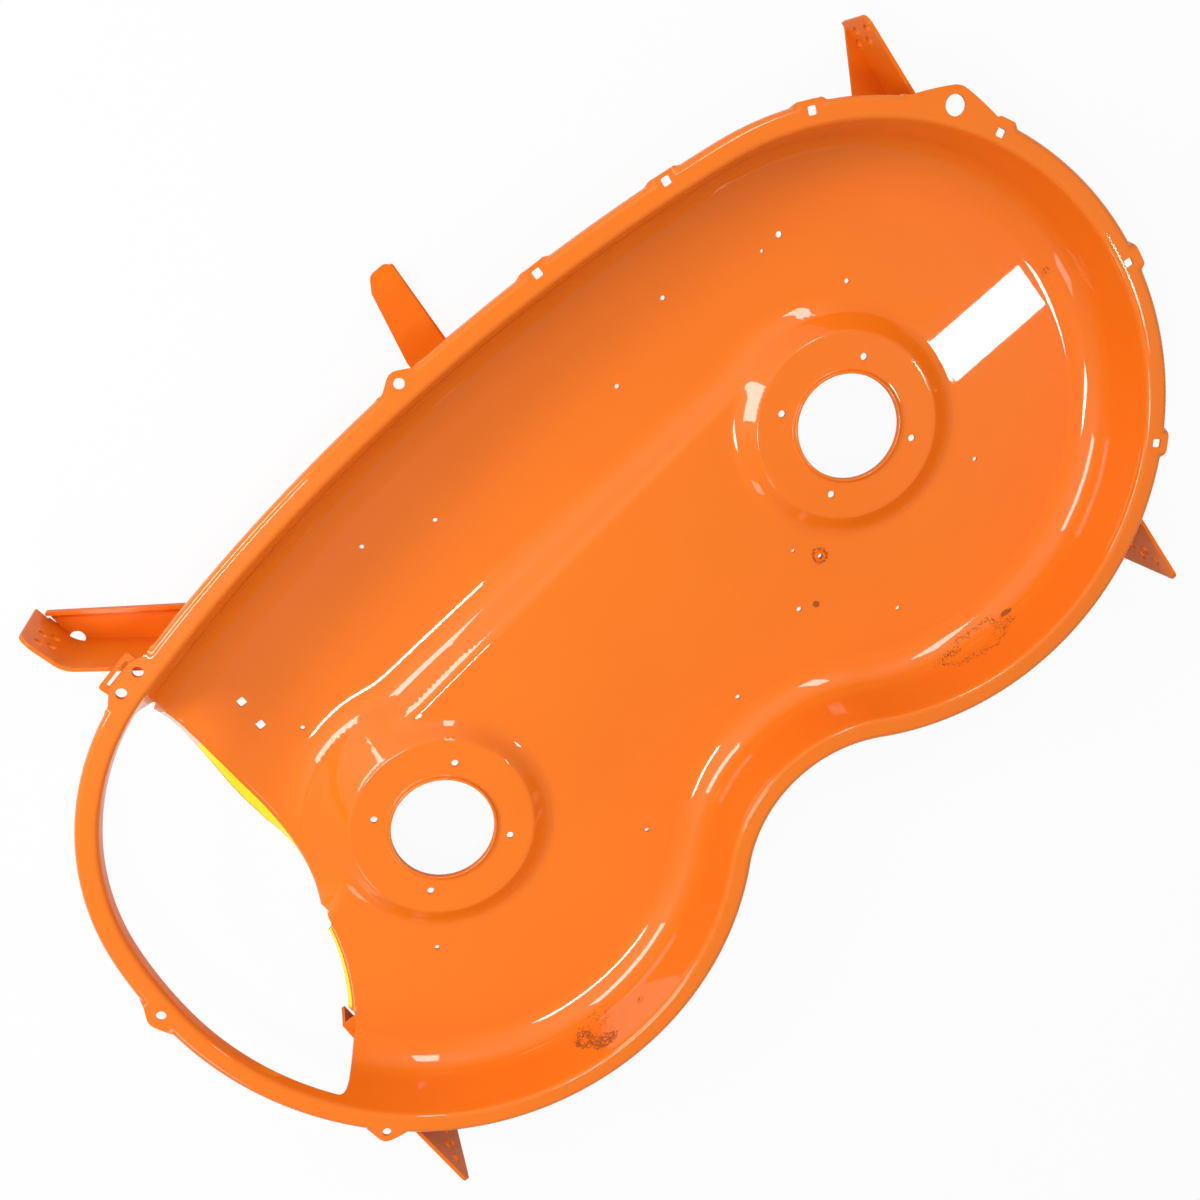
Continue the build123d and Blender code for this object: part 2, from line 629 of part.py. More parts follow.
def front_right_bracket(outer):
    """The right front arm: a web under the tunnel floor, a side flange and an end plate."""
    under = -TUNNEL_DEPTH - SHEET
    low = under - BRACKET_SHEET
    path = FilletPolyline(*RIGHT_ARM_PATH, radius=RIGHT_ARM_BEND_R)
    band = offset(Wire(path.edges()), BRACKET_SHEET / 2, side=Side.BOTH)
    wall = above(make_face(band), low, BRACKET_TOP_Z)
    wall -= tip_rounding(*RIGHT_ARM_PATH[-1])
    web = above(make_face(Polyline(*RIGHT_WEB, close=True)), low, under)
    edge_band = offset(Wire([Line(*RIGHT_WEB[:2])]), BRACKET_SHEET / 2, side=Side.BOTH)
    arm = wall + web + above(make_face(edge_band), low, under + WEB_LIP)
    seam_x, seam_y = RIGHT_ARM_PATH[-1]
    seam = Pos(seam_x - BRACKET_SHEET / 2 - ARM_SEAM / 2, seam_y)
    arm -= above(seam * Rectangle(ARM_SEAM, 2 * RIGHT_SEAM_LENGTH), low - 1, under + 1)
    relief_x, relief_y = RIGHT_RELIEF
    arm -= above(Pos(relief_x, relief_y) * Circle(ARM_RELIEF_R), low - 1, under + ARM_RELIEF_R)
    arm -= outer
    along = (Vector(*RIGHT_ARM_PATH[-2]) - Vector(*RIGHT_ARM_PATH[-1])).normalized()
    for cutter in bolt_holes(seam_x, seam_y, along, RIGHT_HOLE_EDGE, 1):
        arm -= cutter
    return arm.solids().sort_by(SortBy.VOLUME)[-1]


def front_hanger(outer):
    """The front hanger: a tongue welded under the tunnel floor, with one edge bent down."""
    blank = make_face(Polyline(*HANGER_OUTLINE, close=True))
    nose = blank.vertices().sort_by(Axis.Y)[:2]
    blank = fillet(nose, HANGER_NOSE_R)
    tongue = above(blank, HANGER_Z - BRACKET_SHEET, HANGER_Z)
    edge = Line(*HANGER_BENT_EDGE)
    flange_band = make_face(offset(Wire([edge]), BRACKET_SHEET / 2, side=Side.BOTH))
    flange_band = above(flange_band, -REST_DEPTH, HANGER_Z - BRACKET_SHEET / 2)
    return (tongue + flange_band - outer).solids().sort_by(SortBy.VOLUME)[-1]


def hinge_plate():
    """The discharge chute's hinge plate: it lies under the flange and carries a bar outside it."""
    holes = RIM_EARS[HINGE_EAR][0]
    first, second = [beside_rim(arc, angle, inset) for arc, angle, inset, _ in holes]
    along = (second - first).normalized()
    middle = (first + second) * 0.5
    place = Pos(middle.X, middle.Y) * Rot(0, 0, heading(along))
    height = HINGE_INNER + HINGE_OUTER
    plate = Pos(0, HINGE_INNER - height / 2) * RectangleRounded(HINGE_LENGTH, height, HINGE_CORNER_R)
    slot_place = Pos(0, HINGE_BAR + HINGE_SLOT / 2 - HINGE_OUTER)
    face = plate - slot_place * SlotOverall(HINGE_LENGTH - 2 * HINGE_SLOT_MARGIN, HINGE_SLOT)
    for point in (first, second):
        offset_x = (point - middle).dot(along)
        face -= Pos(offset_x, 0) * Circle(holes[0][3])
    return above(place * face, RIM_Z - 2 * SHEET, RIM_Z - SHEET)


def main():
    """Build every piece and write one file for each."""
    inner = pressed_form(0)
    outer = pressed_form(SHEET)
    pieces = {
        "deck_shell": deck_shell(inner, outer),
        "wheel_bracket_front_left": front_left_bracket(outer),
        "wheel_bracket_front_right": front_right_bracket(outer),
        "wheel_bracket_rear_left": rear_bracket(*REAR_LEFT, REAR_LEFT_LENGTH, REAR_LEFT_LEAN, outer),
        "wheel_bracket_rear_right": rear_bracket(*REAR_RIGHT, REAR_RIGHT_LENGTH, REAR_RIGHT_LEAN, outer),
        "front_hanger": front_hanger(outer),
        "discharge_hinge_plate": hinge_plate(),
        "weld_nut": weld_nut(),
        "tunnel_edge_strip": tunnel_lip(-STRIP_GAP - STRIP_THICKNESS, -STRIP_GAP, 25, STRIP_INSET),
        "plateau_edge_strip": plateau_lip(-STRIP_GAP - STRIP_THICKNESS, -STRIP_GAP, 40, STRIP_INSET),
    }
    os.makedirs("parts", exist_ok=True)
    for name, piece in pieces.items():
        export_step(piece, f"parts/{name}.step")


if __name__ == "__main__":
    main()
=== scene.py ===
"""The looks of a two-spindle lawn mower deck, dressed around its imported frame.

The deck lies on its back with the blade chamber open toward +Z. The origin is on the
discharge-side spindle bore, +X points to the discharge side and -Y to the tractor's front.
Shapes are worked out in millimetres and handed over in metres.
"""

import logging
import math
from dataclasses import asdict, dataclass, field
from enum import Enum
from functools import cached_property
from typing import Any, Sequence

import bmesh
import bpy
import numpy as np
from mathutils import Matrix, Vector
from mathutils.geometry import delaunay_2d_cdt

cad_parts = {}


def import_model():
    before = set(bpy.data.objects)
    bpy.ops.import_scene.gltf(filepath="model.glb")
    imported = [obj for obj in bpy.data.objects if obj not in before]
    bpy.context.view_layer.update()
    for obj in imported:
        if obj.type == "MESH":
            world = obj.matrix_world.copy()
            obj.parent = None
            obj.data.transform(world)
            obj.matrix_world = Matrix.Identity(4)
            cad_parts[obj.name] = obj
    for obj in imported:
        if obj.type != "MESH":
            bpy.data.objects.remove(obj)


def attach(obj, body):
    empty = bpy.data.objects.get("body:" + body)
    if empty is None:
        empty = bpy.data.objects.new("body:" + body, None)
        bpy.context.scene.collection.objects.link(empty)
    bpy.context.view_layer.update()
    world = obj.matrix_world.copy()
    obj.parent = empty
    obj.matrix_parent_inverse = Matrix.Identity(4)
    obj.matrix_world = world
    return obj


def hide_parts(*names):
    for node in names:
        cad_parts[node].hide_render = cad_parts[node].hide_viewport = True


LOG = logging.getLogger("mower_deck")
MM = 0.001
BODY = "root"
STRAIGHT_RADIUS = 1.0e7
FULL_TURN = 2.0 * math.pi
QUARTER_TURN = math.pi / 2.0
TINY = 1e-9
SAME_PLACE = 1e-6

Plan = np.ndarray
Row = tuple[np.ndarray, np.ndarray, np.ndarray]
Point = tuple[float, float]
Steps = tuple[float, ...]
Colour = tuple[float, float, float]
Socket = Any


def smoothstep(low: float, high: float, value: np.ndarray) -> np.ndarray:
    """Rises from 0 at low to 1 at high along 3t^2 - 2t^3.

    Args:
        low: Where the rise starts.
        high: Where it ends.
        value: The values to shape.

    Returns:
        The shaped values, from 0 to 1.
    """
    share = np.clip((value - low) / (high - low), 0.0, 1.0)
    return share * share * (3.0 - 2.0 * share)


def soft_min(first: np.ndarray, second: np.ndarray, reach: np.ndarray) -> np.ndarray:
    """The lower of two heights, rounded where they differ by less than reach.

    Args:
        first: One height.
        second: The other height.
        reach: The difference at which the rounding starts.

    Returns:
        min(first, second) less a quarter of reach times the squared closeness.
    """
    close = np.clip(1.0 - np.abs(first - second) / reach, 0.0, 1.0)
    return np.minimum(first, second) - close * close * reach / 4.0


def soft_max(first: np.ndarray, second: np.ndarray, reach: np.ndarray) -> np.ndarray:
    """The higher of two heights, rounded as soft_min rounds the lower one."""
    return -soft_min(-first, -second, reach)


def unit(angle: float) -> np.ndarray:
    """The plan direction at an angle in radians from +X."""
    return np.array([math.cos(angle), math.sin(angle)])


def heading(vector: np.ndarray) -> float:
    """The angle of a plan vector from +X, in radians."""
    return math.atan2(vector[1], vector[0])


def arc_height(radius: float, offset: np.ndarray) -> np.ndarray:
    """Height of a circle over its centre at offsets from it, and 0 beyond the circle."""
    return np.sqrt(np.maximum(radius**2 - offset**2, 0.0))


def circle(count: int, shift: float = 0.0) -> Plan:
    """Unit vectors at even angles, counter-clockwise, turned by a share of one step."""
    angle = (np.arange(count) + shift) * FULL_TURN / count
    return np.stack([np.cos(angle), np.sin(angle)], axis=1)


def circles_meet(
    centre_a: np.ndarray, radius_a: float, centre_b: np.ndarray, radius_b: float
) -> np.ndarray:
    """The rearmost of the two points where two circles cross.

    Args:
        centre_a: Centre of the first circle.
        radius_a: Its radius.
        centre_b: Centre of the second circle.
        radius_b: Its radius.

    Returns:
        The crossing with the larger Y.
    """
    line = centre_b - centre_a
    span = float(np.hypot(*line))
    along = (span**2 + radius_a**2 - radius_b**2) / (2.0 * span)
    across = math.sqrt(radius_a**2 - along**2)
    forward = line / span
    side = np.array([-forward[1], forward[0]])
    points = [centre_a + forward * along + side * across * sign for sign in (1.0, -1.0)]
    return max(points, key=lambda point: point[1])


@dataclass(frozen=True)
class Arc:
    """A circular arc of a plan outline.

    side is +1 where depth is counted toward the centre and -1 where it is counted away from it.
    """

    centre: tuple[float, float]
    radius: float
    start: float
    span: float
    side: float = 1.0


def straight(start: Sequence[float], end: Sequence[float]) -> Arc:
    """A straight stretch as an arc of very large radius.

    Args:
        start: First point.
        end: Last point; depth is counted to the left of the way from start to end.

    Returns:
        The arc.
    """
    begin, finish = np.array(start, float), np.array(end, float)
    way = (finish - begin) / np.hypot(*(finish - begin))
    left = np.array([-way[1], way[0]])
    centre = (begin + finish) / 2.0 + left * STRAIGHT_RADIUS
    first = heading(begin - centre)
    turn = float(np.hypot(*(finish - begin))) / STRAIGHT_RADIUS
    return Arc((centre[0], centre[1]), STRAIGHT_RADIUS, first, turn, 1.0)


def arc_through(
    start: Sequence[float], middle: Sequence[float], end: Sequence[float], left_is_deep: bool
) -> Arc:
    """The arc through three points.

    Args:
        start: First point.
        middle: A point between.
        end: Last point.
        left_is_deep: Whether depth is counted to the left of the way.

    Returns:
        The arc from start to end.
    """
    a, b, c = (np.array(point, float) for point in (start, middle, end))
    rows = np.array([b - a, c - b])
    halves = np.array([(b @ b - a @ a) / 2.0, (c @ c - b @ b) / 2.0])
    centre = np.linalg.solve(rows, halves)
    radius = float(np.hypot(*(a - centre)))
    first, last = heading(a - centre), heading(c - centre)
    turns_left = float(rows[0][0] * rows[1][1] - rows[0][1] * rows[1][0]) > 0.0
    span = (last - first) % FULL_TURN if turns_left else -((first - last) % FULL_TURN)
    side = 1.0 if turns_left == left_is_deep else -1.0
    return Arc((centre[0], centre[1]), radius, first, span, side)


@dataclass(frozen=True)
class ArcChain:
    """A plan curve made of arcs, with points along it and depths beside it."""

    arcs: tuple[Arc, ...]
    far: float = 500.0

    @cached_property
    def lengths(self) -> np.ndarray:
        """The length of each arc."""
        return np.array([arc.radius * abs(arc.span) for arc in self.arcs])

    @property
    def length(self) -> float:
        """The whole length."""
        return float(self.lengths.sum())

    def at(self, distance: np.ndarray) -> tuple[Plan, Plan]:
        """Points along the chain: centre plus radius times the unit vector of the angle.

        Args:
            distance: Distances from the chain's start.

        Returns:
            The points and the unit vectors that lead to the deep side.
        """
        ends = np.cumsum(self.lengths)
        index = np.clip(np.searchsorted(ends, distance, side="right"), 0, len(self.arcs) - 1)
        begins = ends - self.lengths
        share = (distance - begins[index]) / self.lengths[index]
        rows = [(*arc.centre, arc.radius, arc.start, arc.span, arc.side) for arc in self.arcs]
        x, y, radius, start, span, side = np.array(rows)[index].T
        angle = start + span * share
        radial = np.stack([np.cos(angle), np.sin(angle)], axis=1)
        return np.stack([x, y], axis=1) + radial * radius[:, None], -radial * side[:, None]

    def nearest(self, plan: Plan) -> tuple[np.ndarray, Plan, np.ndarray]:
        """Depth of points beside the chain, from the arc that they lie closest to.

        Args:
            plan: Points, one row each.

        Returns:
            Depths, positive on the deep side; unit vectors to that side; distances along
            the chain.
        """
        best = np.full(len(plan), np.inf)
        depth = np.full(len(plan), -self.far)
        inward = np.zeros_like(plan)
        place = np.zeros(len(plan))
        begin = 0.0
        for arc, length in zip(self.arcs, self.lengths):
            offset = plan - np.array(arc.centre)
            radius = np.maximum(np.hypot(offset[:, 0], offset[:, 1]), TINY)
            angle = np.arctan2(offset[:, 1], offset[:, 0])
            sign = 1.0 if arc.span > 0 else -1.0
            slack = SAME_PLACE / arc.radius
            turn = (sign * (angle - arc.start) + slack) % FULL_TURN
            gap = arc.side * (arc.radius - radius)
            closer = (turn <= abs(arc.span) + 2.0 * slack) & (np.abs(gap) < best)
            best = np.where(closer, np.abs(gap), best)
            depth = np.where(closer, gap, depth)
            inward = np.where(closer[:, None], -arc.side * offset / radius[:, None], inward)
            place = np.where(closer, begin + turn * arc.radius, place)
            begin += length
        return depth, inward, place


@dataclass(frozen=True)
class Sheet:
    """Sizes of the pressed sheet, the same as those of the solid part."""

    thickness: float = 2.8
    spacing: float = 540.0
    rim_z: float = 60.0
    plateau_z: float = -14.0
    tunnel_z: float = -42.0
    flange_width: float = 20.0
    draft: float = math.radians(12.0)
    floor_radius: float = 34.0
    tunnel_radius: float = 42.0
    rim_inner_radius: float = 5.0
    rim_outer_radius: float = 6.0
    rim_skirt: float = 9.0
    slope: float = math.radians(40.0)
    pad_radius: float = 88.0
    pad_edge_radius: float = 5.0
    pad_foot_reach: float = 6.0
    pad_foot_least: float = 0.3
    pad_foot_fade: Point = (-10.0, 4.0)
    ramp_crest_reach: float = 4.5
    ramp_crest_least: float = 0.001
    ramp_crest_fade: Point = (24.0, 50.0)
    ramp_y: float = -95.0
    ramp_blend_radius: float = 150.0
    ramp_end_y: float = -12.0
    ramp_end_radius: float = 60.0
    ramp_reach: float = 900.0
    tunnel_low_x: float = 100.0
    tunnel_fade_x: float = -690.0
    corner_power: float = 3.0
    uncovered_depth: float = 1000.0


@dataclass(frozen=True)
class RimSizes:
    """Radii, headings and waist of the rim's chain of tangent arcs."""

    far_lobe: float = 293.0
    near_lobe: float = 292.2
    side: float = 334.3
    nose: float = 459.6
    corner: float = 251.7
    front: float = 1823.0
    side_heading: float = math.radians(30.1)
    nose_heading: float = math.radians(-7.4)
    corner_heading: float = math.radians(-18.2)
    waist_y: float = 197.7


def rim_chain(sheet: Sheet, sizes: RimSizes) -> ArcChain:
    """The rim's outline in plan, clockwise from the waist over the discharge side.

    Args:
        sheet: Sizes of the sheet.
        sizes: Radii and headings of the arcs.

    Returns:
        The closed chain; depth is counted into the chamber.
    """
    near, far = np.zeros(2), np.array([-sheet.spacing, 0.0])
    side = near + unit(sizes.side_heading) * (sizes.near_lobe - sizes.side)
    nose = side + unit(sizes.nose_heading) * (sizes.side - sizes.nose)
    corner = nose + unit(sizes.corner_heading) * (sizes.nose - sizes.corner)
    front = circles_meet(corner, sizes.front - sizes.corner, far, sizes.front - sizes.far_lobe)
    half = sheet.spacing / 2.0
    low, high = 2.0 * sizes.near_lobe - 2.0 * sizes.waist_y, half**2 + sizes.waist_y**2
    waist_radius = (high - sizes.near_lobe**2) / low
    waist = circles_meet(near, sizes.near_lobe + waist_radius, far, sizes.far_lobe + waist_radius)
    to_corner, to_far = heading(corner - front), heading(far - front)
    stretches = [
        (near, sizes.near_lobe, heading(waist - near), sizes.side_heading, 1.0),
        (side, sizes.side, sizes.side_heading, sizes.nose_heading, 1.0),
        (nose, sizes.nose, sizes.nose_heading, sizes.corner_heading, 1.0),
        (corner, sizes.corner, sizes.corner_heading, to_corner, 1.0),
        (front, sizes.front, to_corner, to_far, 1.0),
        (far, sizes.far_lobe, to_far, heading(waist - far) - FULL_TURN, 1.0),
        (waist, waist_radius, heading(far - waist), heading(near - waist), -1.0),
    ]
    arcs = [Arc((c[0], c[1]), r, start, end - start, s) for c, r, start, end, s in stretches]
    return ArcChain(tuple(arcs))


def ramp_chain(sheet: Sheet) -> ArcChain:
    """The crest of the ramp between plateau and tunnel, from the discharge side to the far end.

    Args:
        sheet: Sizes of the sheet.

    Returns:
        The chain; depth is counted forward, into the tunnel.
    """
    far_x, end_y = -sheet.spacing, sheet.ramp_end_y
    blend, end = sheet.ramp_blend_radius, sheet.ramp_end_radius
    round_r = sheet.pad_radius - sheet.plateau_z / math.tan(sheet.slope)
    blend_y = sheet.ramp_y - blend
    blend_x = math.sqrt((round_r + blend) ** 2 - blend_y**2)
    turn_y = end_y - end
    turn_x = math.sqrt((round_r + end) ** 2 - turn_y**2)
    leave, join = math.atan2(turn_y, turn_x), math.atan2(blend_y, -blend_x)
    mirror_join, mirror_leave = -math.pi - join, -math.pi - leave
    arcs = (
        straight((sheet.ramp_reach, end_y), (turn_x, end_y)),
        Arc((turn_x, turn_y), end, QUARTER_TURN, QUARTER_TURN + leave),
        Arc((0.0, 0.0), round_r, leave, join - leave, -1.0),
        Arc((-blend_x, blend_y), blend, join + math.pi, -join - QUARTER_TURN),
        straight((-blend_x, sheet.ramp_y), (far_x + blend_x, sheet.ramp_y)),
        Arc((far_x + blend_x, blend_y), blend, QUARTER_TURN, -join - QUARTER_TURN),
        Arc((far_x, 0.0), round_r, mirror_join, mirror_leave - mirror_join, -1.0),
        Arc((far_x - turn_x, turn_y), end, -leave, QUARTER_TURN + leave),
        straight((far_x - turn_x, end_y), (far_x - sheet.ramp_reach, end_y)),
    )
    return ArcChain(arcs)


@dataclass(frozen=True)
class PressedForm:
    """The chamber face of the pressed sheet as a height over the plan."""

    sheet: Sheet
    rim: ArcChain
    ramp: ArcChain

    def walled(self, depth: np.ndarray, floor: np.ndarray, radius: float) -> np.ndarray:
        """Height of the flange, its inner bend, the drafted wall and the fillet to a floor.

        Args:
            depth: Distance inward from the rim.
            floor: Height of the floor.
            radius: Radius of the fillet at the wall's foot.

        Returns:
            The height: flat, a convex quarter, a straight slope, a hollow quarter and flat again.
        """
        sheet = self.sheet
        lean = math.tan(sheet.draft)
        half_turn = math.tan((math.pi / 2.0 - sheet.draft) / 2.0)
        bend = sheet.rim_inner_radius
        crest = sheet.flange_width - bend * half_turn
        wall_top = sheet.flange_width + bend * half_turn * math.sin(sheet.draft)
        foot = sheet.flange_width + (sheet.rim_z - floor) * lean
        centre = foot + radius * half_turn
        wall_end = foot - radius * half_turn * math.sin(sheet.draft)
        flat = np.full_like(depth, sheet.rim_z)
        bent = sheet.rim_z - bend + arc_height(bend, depth - crest)
        line = sheet.rim_z - (depth - sheet.flange_width) / lean
        hollow = floor + radius - arc_height(radius, depth - centre)
        stages = [depth < crest, depth < wall_top, depth < wall_end, depth < centre]
        return np.select(stages, [flat, bent, line, hollow], floor + 0.0 * depth)

    def ramped(self, ahead: np.ndarray, floor: np.ndarray) -> np.ndarray:
        """Height of the ramp's straight slope and the fillet to the tunnel floor.

        Args:
            ahead: Distance forward from the ramp's crest.
            floor: Height of the tunnel floor.

        Returns:
            The height of slope, hollow and floor.
        """
        sheet = self.sheet
        radius = sheet.tunnel_radius
        grade = math.tan(sheet.slope)
        run = radius * math.tan(sheet.slope / 2.0)
        foot = (sheet.plateau_z - floor) / grade
        centre = foot + run
        line = sheet.plateau_z - ahead * grade
        hollow = floor + radius - arc_height(radius, ahead - centre)
        stages = [ahead < foot - run * math.cos(sheet.slope), ahead < centre]
        return np.select(stages, [line, hollow], floor + 0.0 * ahead)

    def tunnel_floor(self, across: np.ndarray) -> np.ndarray:
        """Height of the tunnel floor, a long arc that rises toward the far spindle.

        Args:
            across: Places along X.

        Returns:
            The height at each place.
        """
        sheet = self.sheet
        run = sheet.tunnel_low_x - sheet.tunnel_fade_x
        rise = sheet.plateau_z - sheet.tunnel_z
        radius = (run**2 + rise**2) / (2.0 * rise)
        return sheet.tunnel_z + radius - np.sqrt(radius**2 - (across - sheet.tunnel_low_x) ** 2)

    def axis_distance(self, plan: Plan) -> np.ndarray:
        """Distance of plan points from the nearer spindle axis."""
        near = np.hypot(plan[:, 0], plan[:, 1])
        return np.minimum(near, np.hypot(plan[:, 0] + self.sheet.spacing, plan[:, 1]))

    def pad_cone(self, plan: Plan) -> np.ndarray:
        """Height of the nearer spindle pad: a flat top, a rounded edge and a cone.

        Args:
            plan: Points, one row each.

        Returns:
            The height of each point.
        """
        sheet = self.sheet
        reach = self.axis_distance(plan)
        radius = sheet.pad_edge_radius
        run = radius * math.tan(sheet.slope / 2.0)
        start = sheet.pad_radius - run
        rounded = arc_height(radius, reach - start) - radius
        stages = [reach < start, reach < sheet.pad_radius + run * math.cos(sheet.slope)]
        line = -(reach - sheet.pad_radius) * math.tan(sheet.slope)
        return np.select(stages, [0.0 * reach, rounded], line)

    def height(self, plan: Plan) -> np.ndarray:
        """Height of the chamber face: bowl and tunnel joined low, the pads joined high.

        Args:
            plan: Points, one row each.

        Returns:
            The height of each point.
        """
        sheet = self.sheet
        depth, _, _ = self.rim.nearest(plan)
        depth = np.where(depth < -sheet.flange_width, sheet.uncovered_depth, depth)
        ahead, _, _ = self.ramp.nearest(plan)
        floor = self.tunnel_floor(plan[:, 0])
        power = sheet.corner_power
        from_wall = np.maximum(self.walled(depth, floor, sheet.tunnel_radius) - floor, 0.0)
        from_ramp = np.maximum(self.ramped(ahead, floor) - floor, 0.0)
        tunnel = floor + (from_wall**power + from_ramp**power) ** (1.0 / power)
        bowl = self.walled(depth, np.full_like(depth, sheet.plateau_z), sheet.floor_radius)
        crest = sheet.ramp_crest_reach * smoothstep(*sheet.ramp_crest_fade, depth)
        pressed = soft_min(bowl, tunnel, crest + sheet.ramp_crest_least)
        foot = sheet.pad_foot_reach * (1.0 - smoothstep(*sheet.pad_foot_fade, ahead))
        return soft_max(pressed, self.pad_cone(plan), foot + sheet.pad_foot_least)

    def normal(self, plan: Plan) -> np.ndarray:
        """Upward unit normals of the chamber face, from central differences of the height.

        Args:
            plan: Points, one row each.

        Returns:
            The normal of each point.
        """
        step = 0.02
        slopes = []
        for axis in (0, 1):
            shift = np.zeros(2)
            shift[axis] = step
            slopes.append((self.height(plan + shift) - self.height(plan - shift)) / (2.0 * step))
        normal = np.stack([-slopes[0], -slopes[1], np.ones(len(plan))], axis=1)
        return normal / np.linalg.norm(normal, axis=1)[:, None]


@dataclass(frozen=True)
class Ear:
    """A flat ear of the rim around one hole, or two holes in a line.

    half_gap is half the distance between two holes, hole the radius of a round hole, and square
    the side of a square one.
    """

    x: float
    y: float
    nose: float
    root: float
    hole: float = 0.0
    half_gap: float = 0.0
    square: float = 0.0


class HoleShape(Enum):
    """The two shapes of hole in the sheet."""

    ROUND = "round"
    SQUARE = "square"


@dataclass(frozen=True)
class Hole:
    """A hole in the sheet: its place, its radius or half side, and its turn.

    A square is the curve |x|^12 + |y|^12 = 1, which leaves its corners slightly rounded.
    """

    x: float
    y: float
    size: float
    shape: HoleShape = HoleShape.ROUND
    turn: float = 0.0
    round_points: tuple[int, int] = (12, 40)
    points_per_mm: float = 4.0
    square_points: int = 24
    square_power: float = 12.0

    def loop(self) -> Plan:
        """The hole's edge in plan, counter-clockwise.

        Returns:
            The points of the edge.
        """
        if self.shape is HoleShape.ROUND:
            count = int(np.clip(round(self.size * self.points_per_mm), *self.round_points))
            return circle(count) * self.size + np.array([self.x, self.y])
        ring = circle(self.square_points, 0.5)
        grow = (np.abs(ring) ** self.square_power).sum(axis=1) ** (-1.0 / self.square_power)
        cosine, sine = math.cos(self.turn), math.sin(self.turn)
        turned = (ring * grow[:, None] * self.size) @ np.array([[cosine, sine], [-sine, cosine]])
        return turned + np.array([self.x, self.y])


SQUARE_SIDE = 7.8
RIM_EARS = (
    Ear(-782.7, -161.6, 17.0, 92.0, hole=9.3),
    Ear(-275.8, -332.3, 11.0, 40.0, hole=4.9),
    Ear(67.9, -316.75, 10.5, 40.0, hole=5.0, half_gap=11.86),
    Ear(285.9, -85.0, 13.0, 42.0, hole=4.7),
    Ear(244.3, 158.3, 10.0, 36.0, hole=4.2),
)
RIM_SQUARES = tuple(
    Ear(x, y, 0.0, 24.0, square=SQUARE_SIDE)
    for x, y in (
        (-423.3, -314.8),
        (-554.8, -292.6),
        (-685.9, -246.8),
        (-798.3, -115.3),
        (-816.8, 56.9),
        (-734.5, 208.1),
    )
)
PLATE_HOLES = (
    (-612.9, -172.4, 3.0),
    (-591.7, -172.3, 1.6),
    (-631.8, -95.6, 2.4),
    (-497.2, -205.6, 2.2),
    (-411.6, -176.5, 2.2),
    (-205.0, -207.4, 2.2),
    (-139.9, -238.2, 2.2),
    (25.4, -156.0, 2.2),
    (97.3, 90.5, 2.4),
    (-128.9, 159.3, 2.2),
    (-286.3, 125.8, 2.4),
    (-459.8, 178.6, 2.2),
    (-612.5, 122.4, 2.2),
    (-389.1, 104.9, 2.6),
    (-424.0, 57.0, 1.7),
    (-439.1, 79.8, 2.6),
)
SQUARE_PLATE_HOLES = ((44.6, -215.1), (49.5, -186.8))
TRACTOR_SKEW = math.radians(7.2)


@dataclass(frozen=True)
class SpindleSeat:
    """The bore, its upstanding collar and the four bolt holes of a spindle pad."""

    bore: float = 49.5
    loop: float = 56.0
    bolt_circle: float = 66.0
    bolt_hole: float = 3.4
    bolt_heading: float = math.radians(34.6)
    count: int = 96

    def holes(self, x: float) -> list[Hole]:
        """The four bolt holes round a spindle axis at (x, 0).

        Args:
            x: Place of the axis.

        Returns:
            The holes.
        """
        turns = [self.bolt_heading + quarter * math.pi / 2.0 for quarter in range(4)]
        places = [unit(turn) * self.bolt_circle for turn in turns]
        return [Hole(x + place[0], place[1], self.bolt_hole) for place in places]

    def ring(self, x: float) -> Plan:
        """The loop in plan where the flat pad ends and the collar's bend begins."""
        return circle(self.count) * self.loop + np.array([x, 0.0])

    def profile(self, thickness: float) -> np.ndarray:
        """Radius and height of the collar, from the pad's face over its edge to the outer face.

        Args:
            thickness: Thickness of the sheet.

        Returns:
            One row for each ring, without the first and last, which the sheet has.
        """
        hollow = [(54.4, 0.06), (53.4, 0.4), (52.7, 1.1), (52.4, 2.0)]
        crown = [(52.1, 2.8), (51.5, 3.3), (50.8, 3.5), (50.1, 3.35), (49.65, 2.95)]
        wall = [(self.bore, 2.3), (self.bore, 0.0), (self.bore, 0.6 - thickness)]
        edge = [(self.bore + 0.2, 0.2 - thickness), (self.bore + 0.6, -thickness)]
        return np.array(hollow + crown + wall + edge)


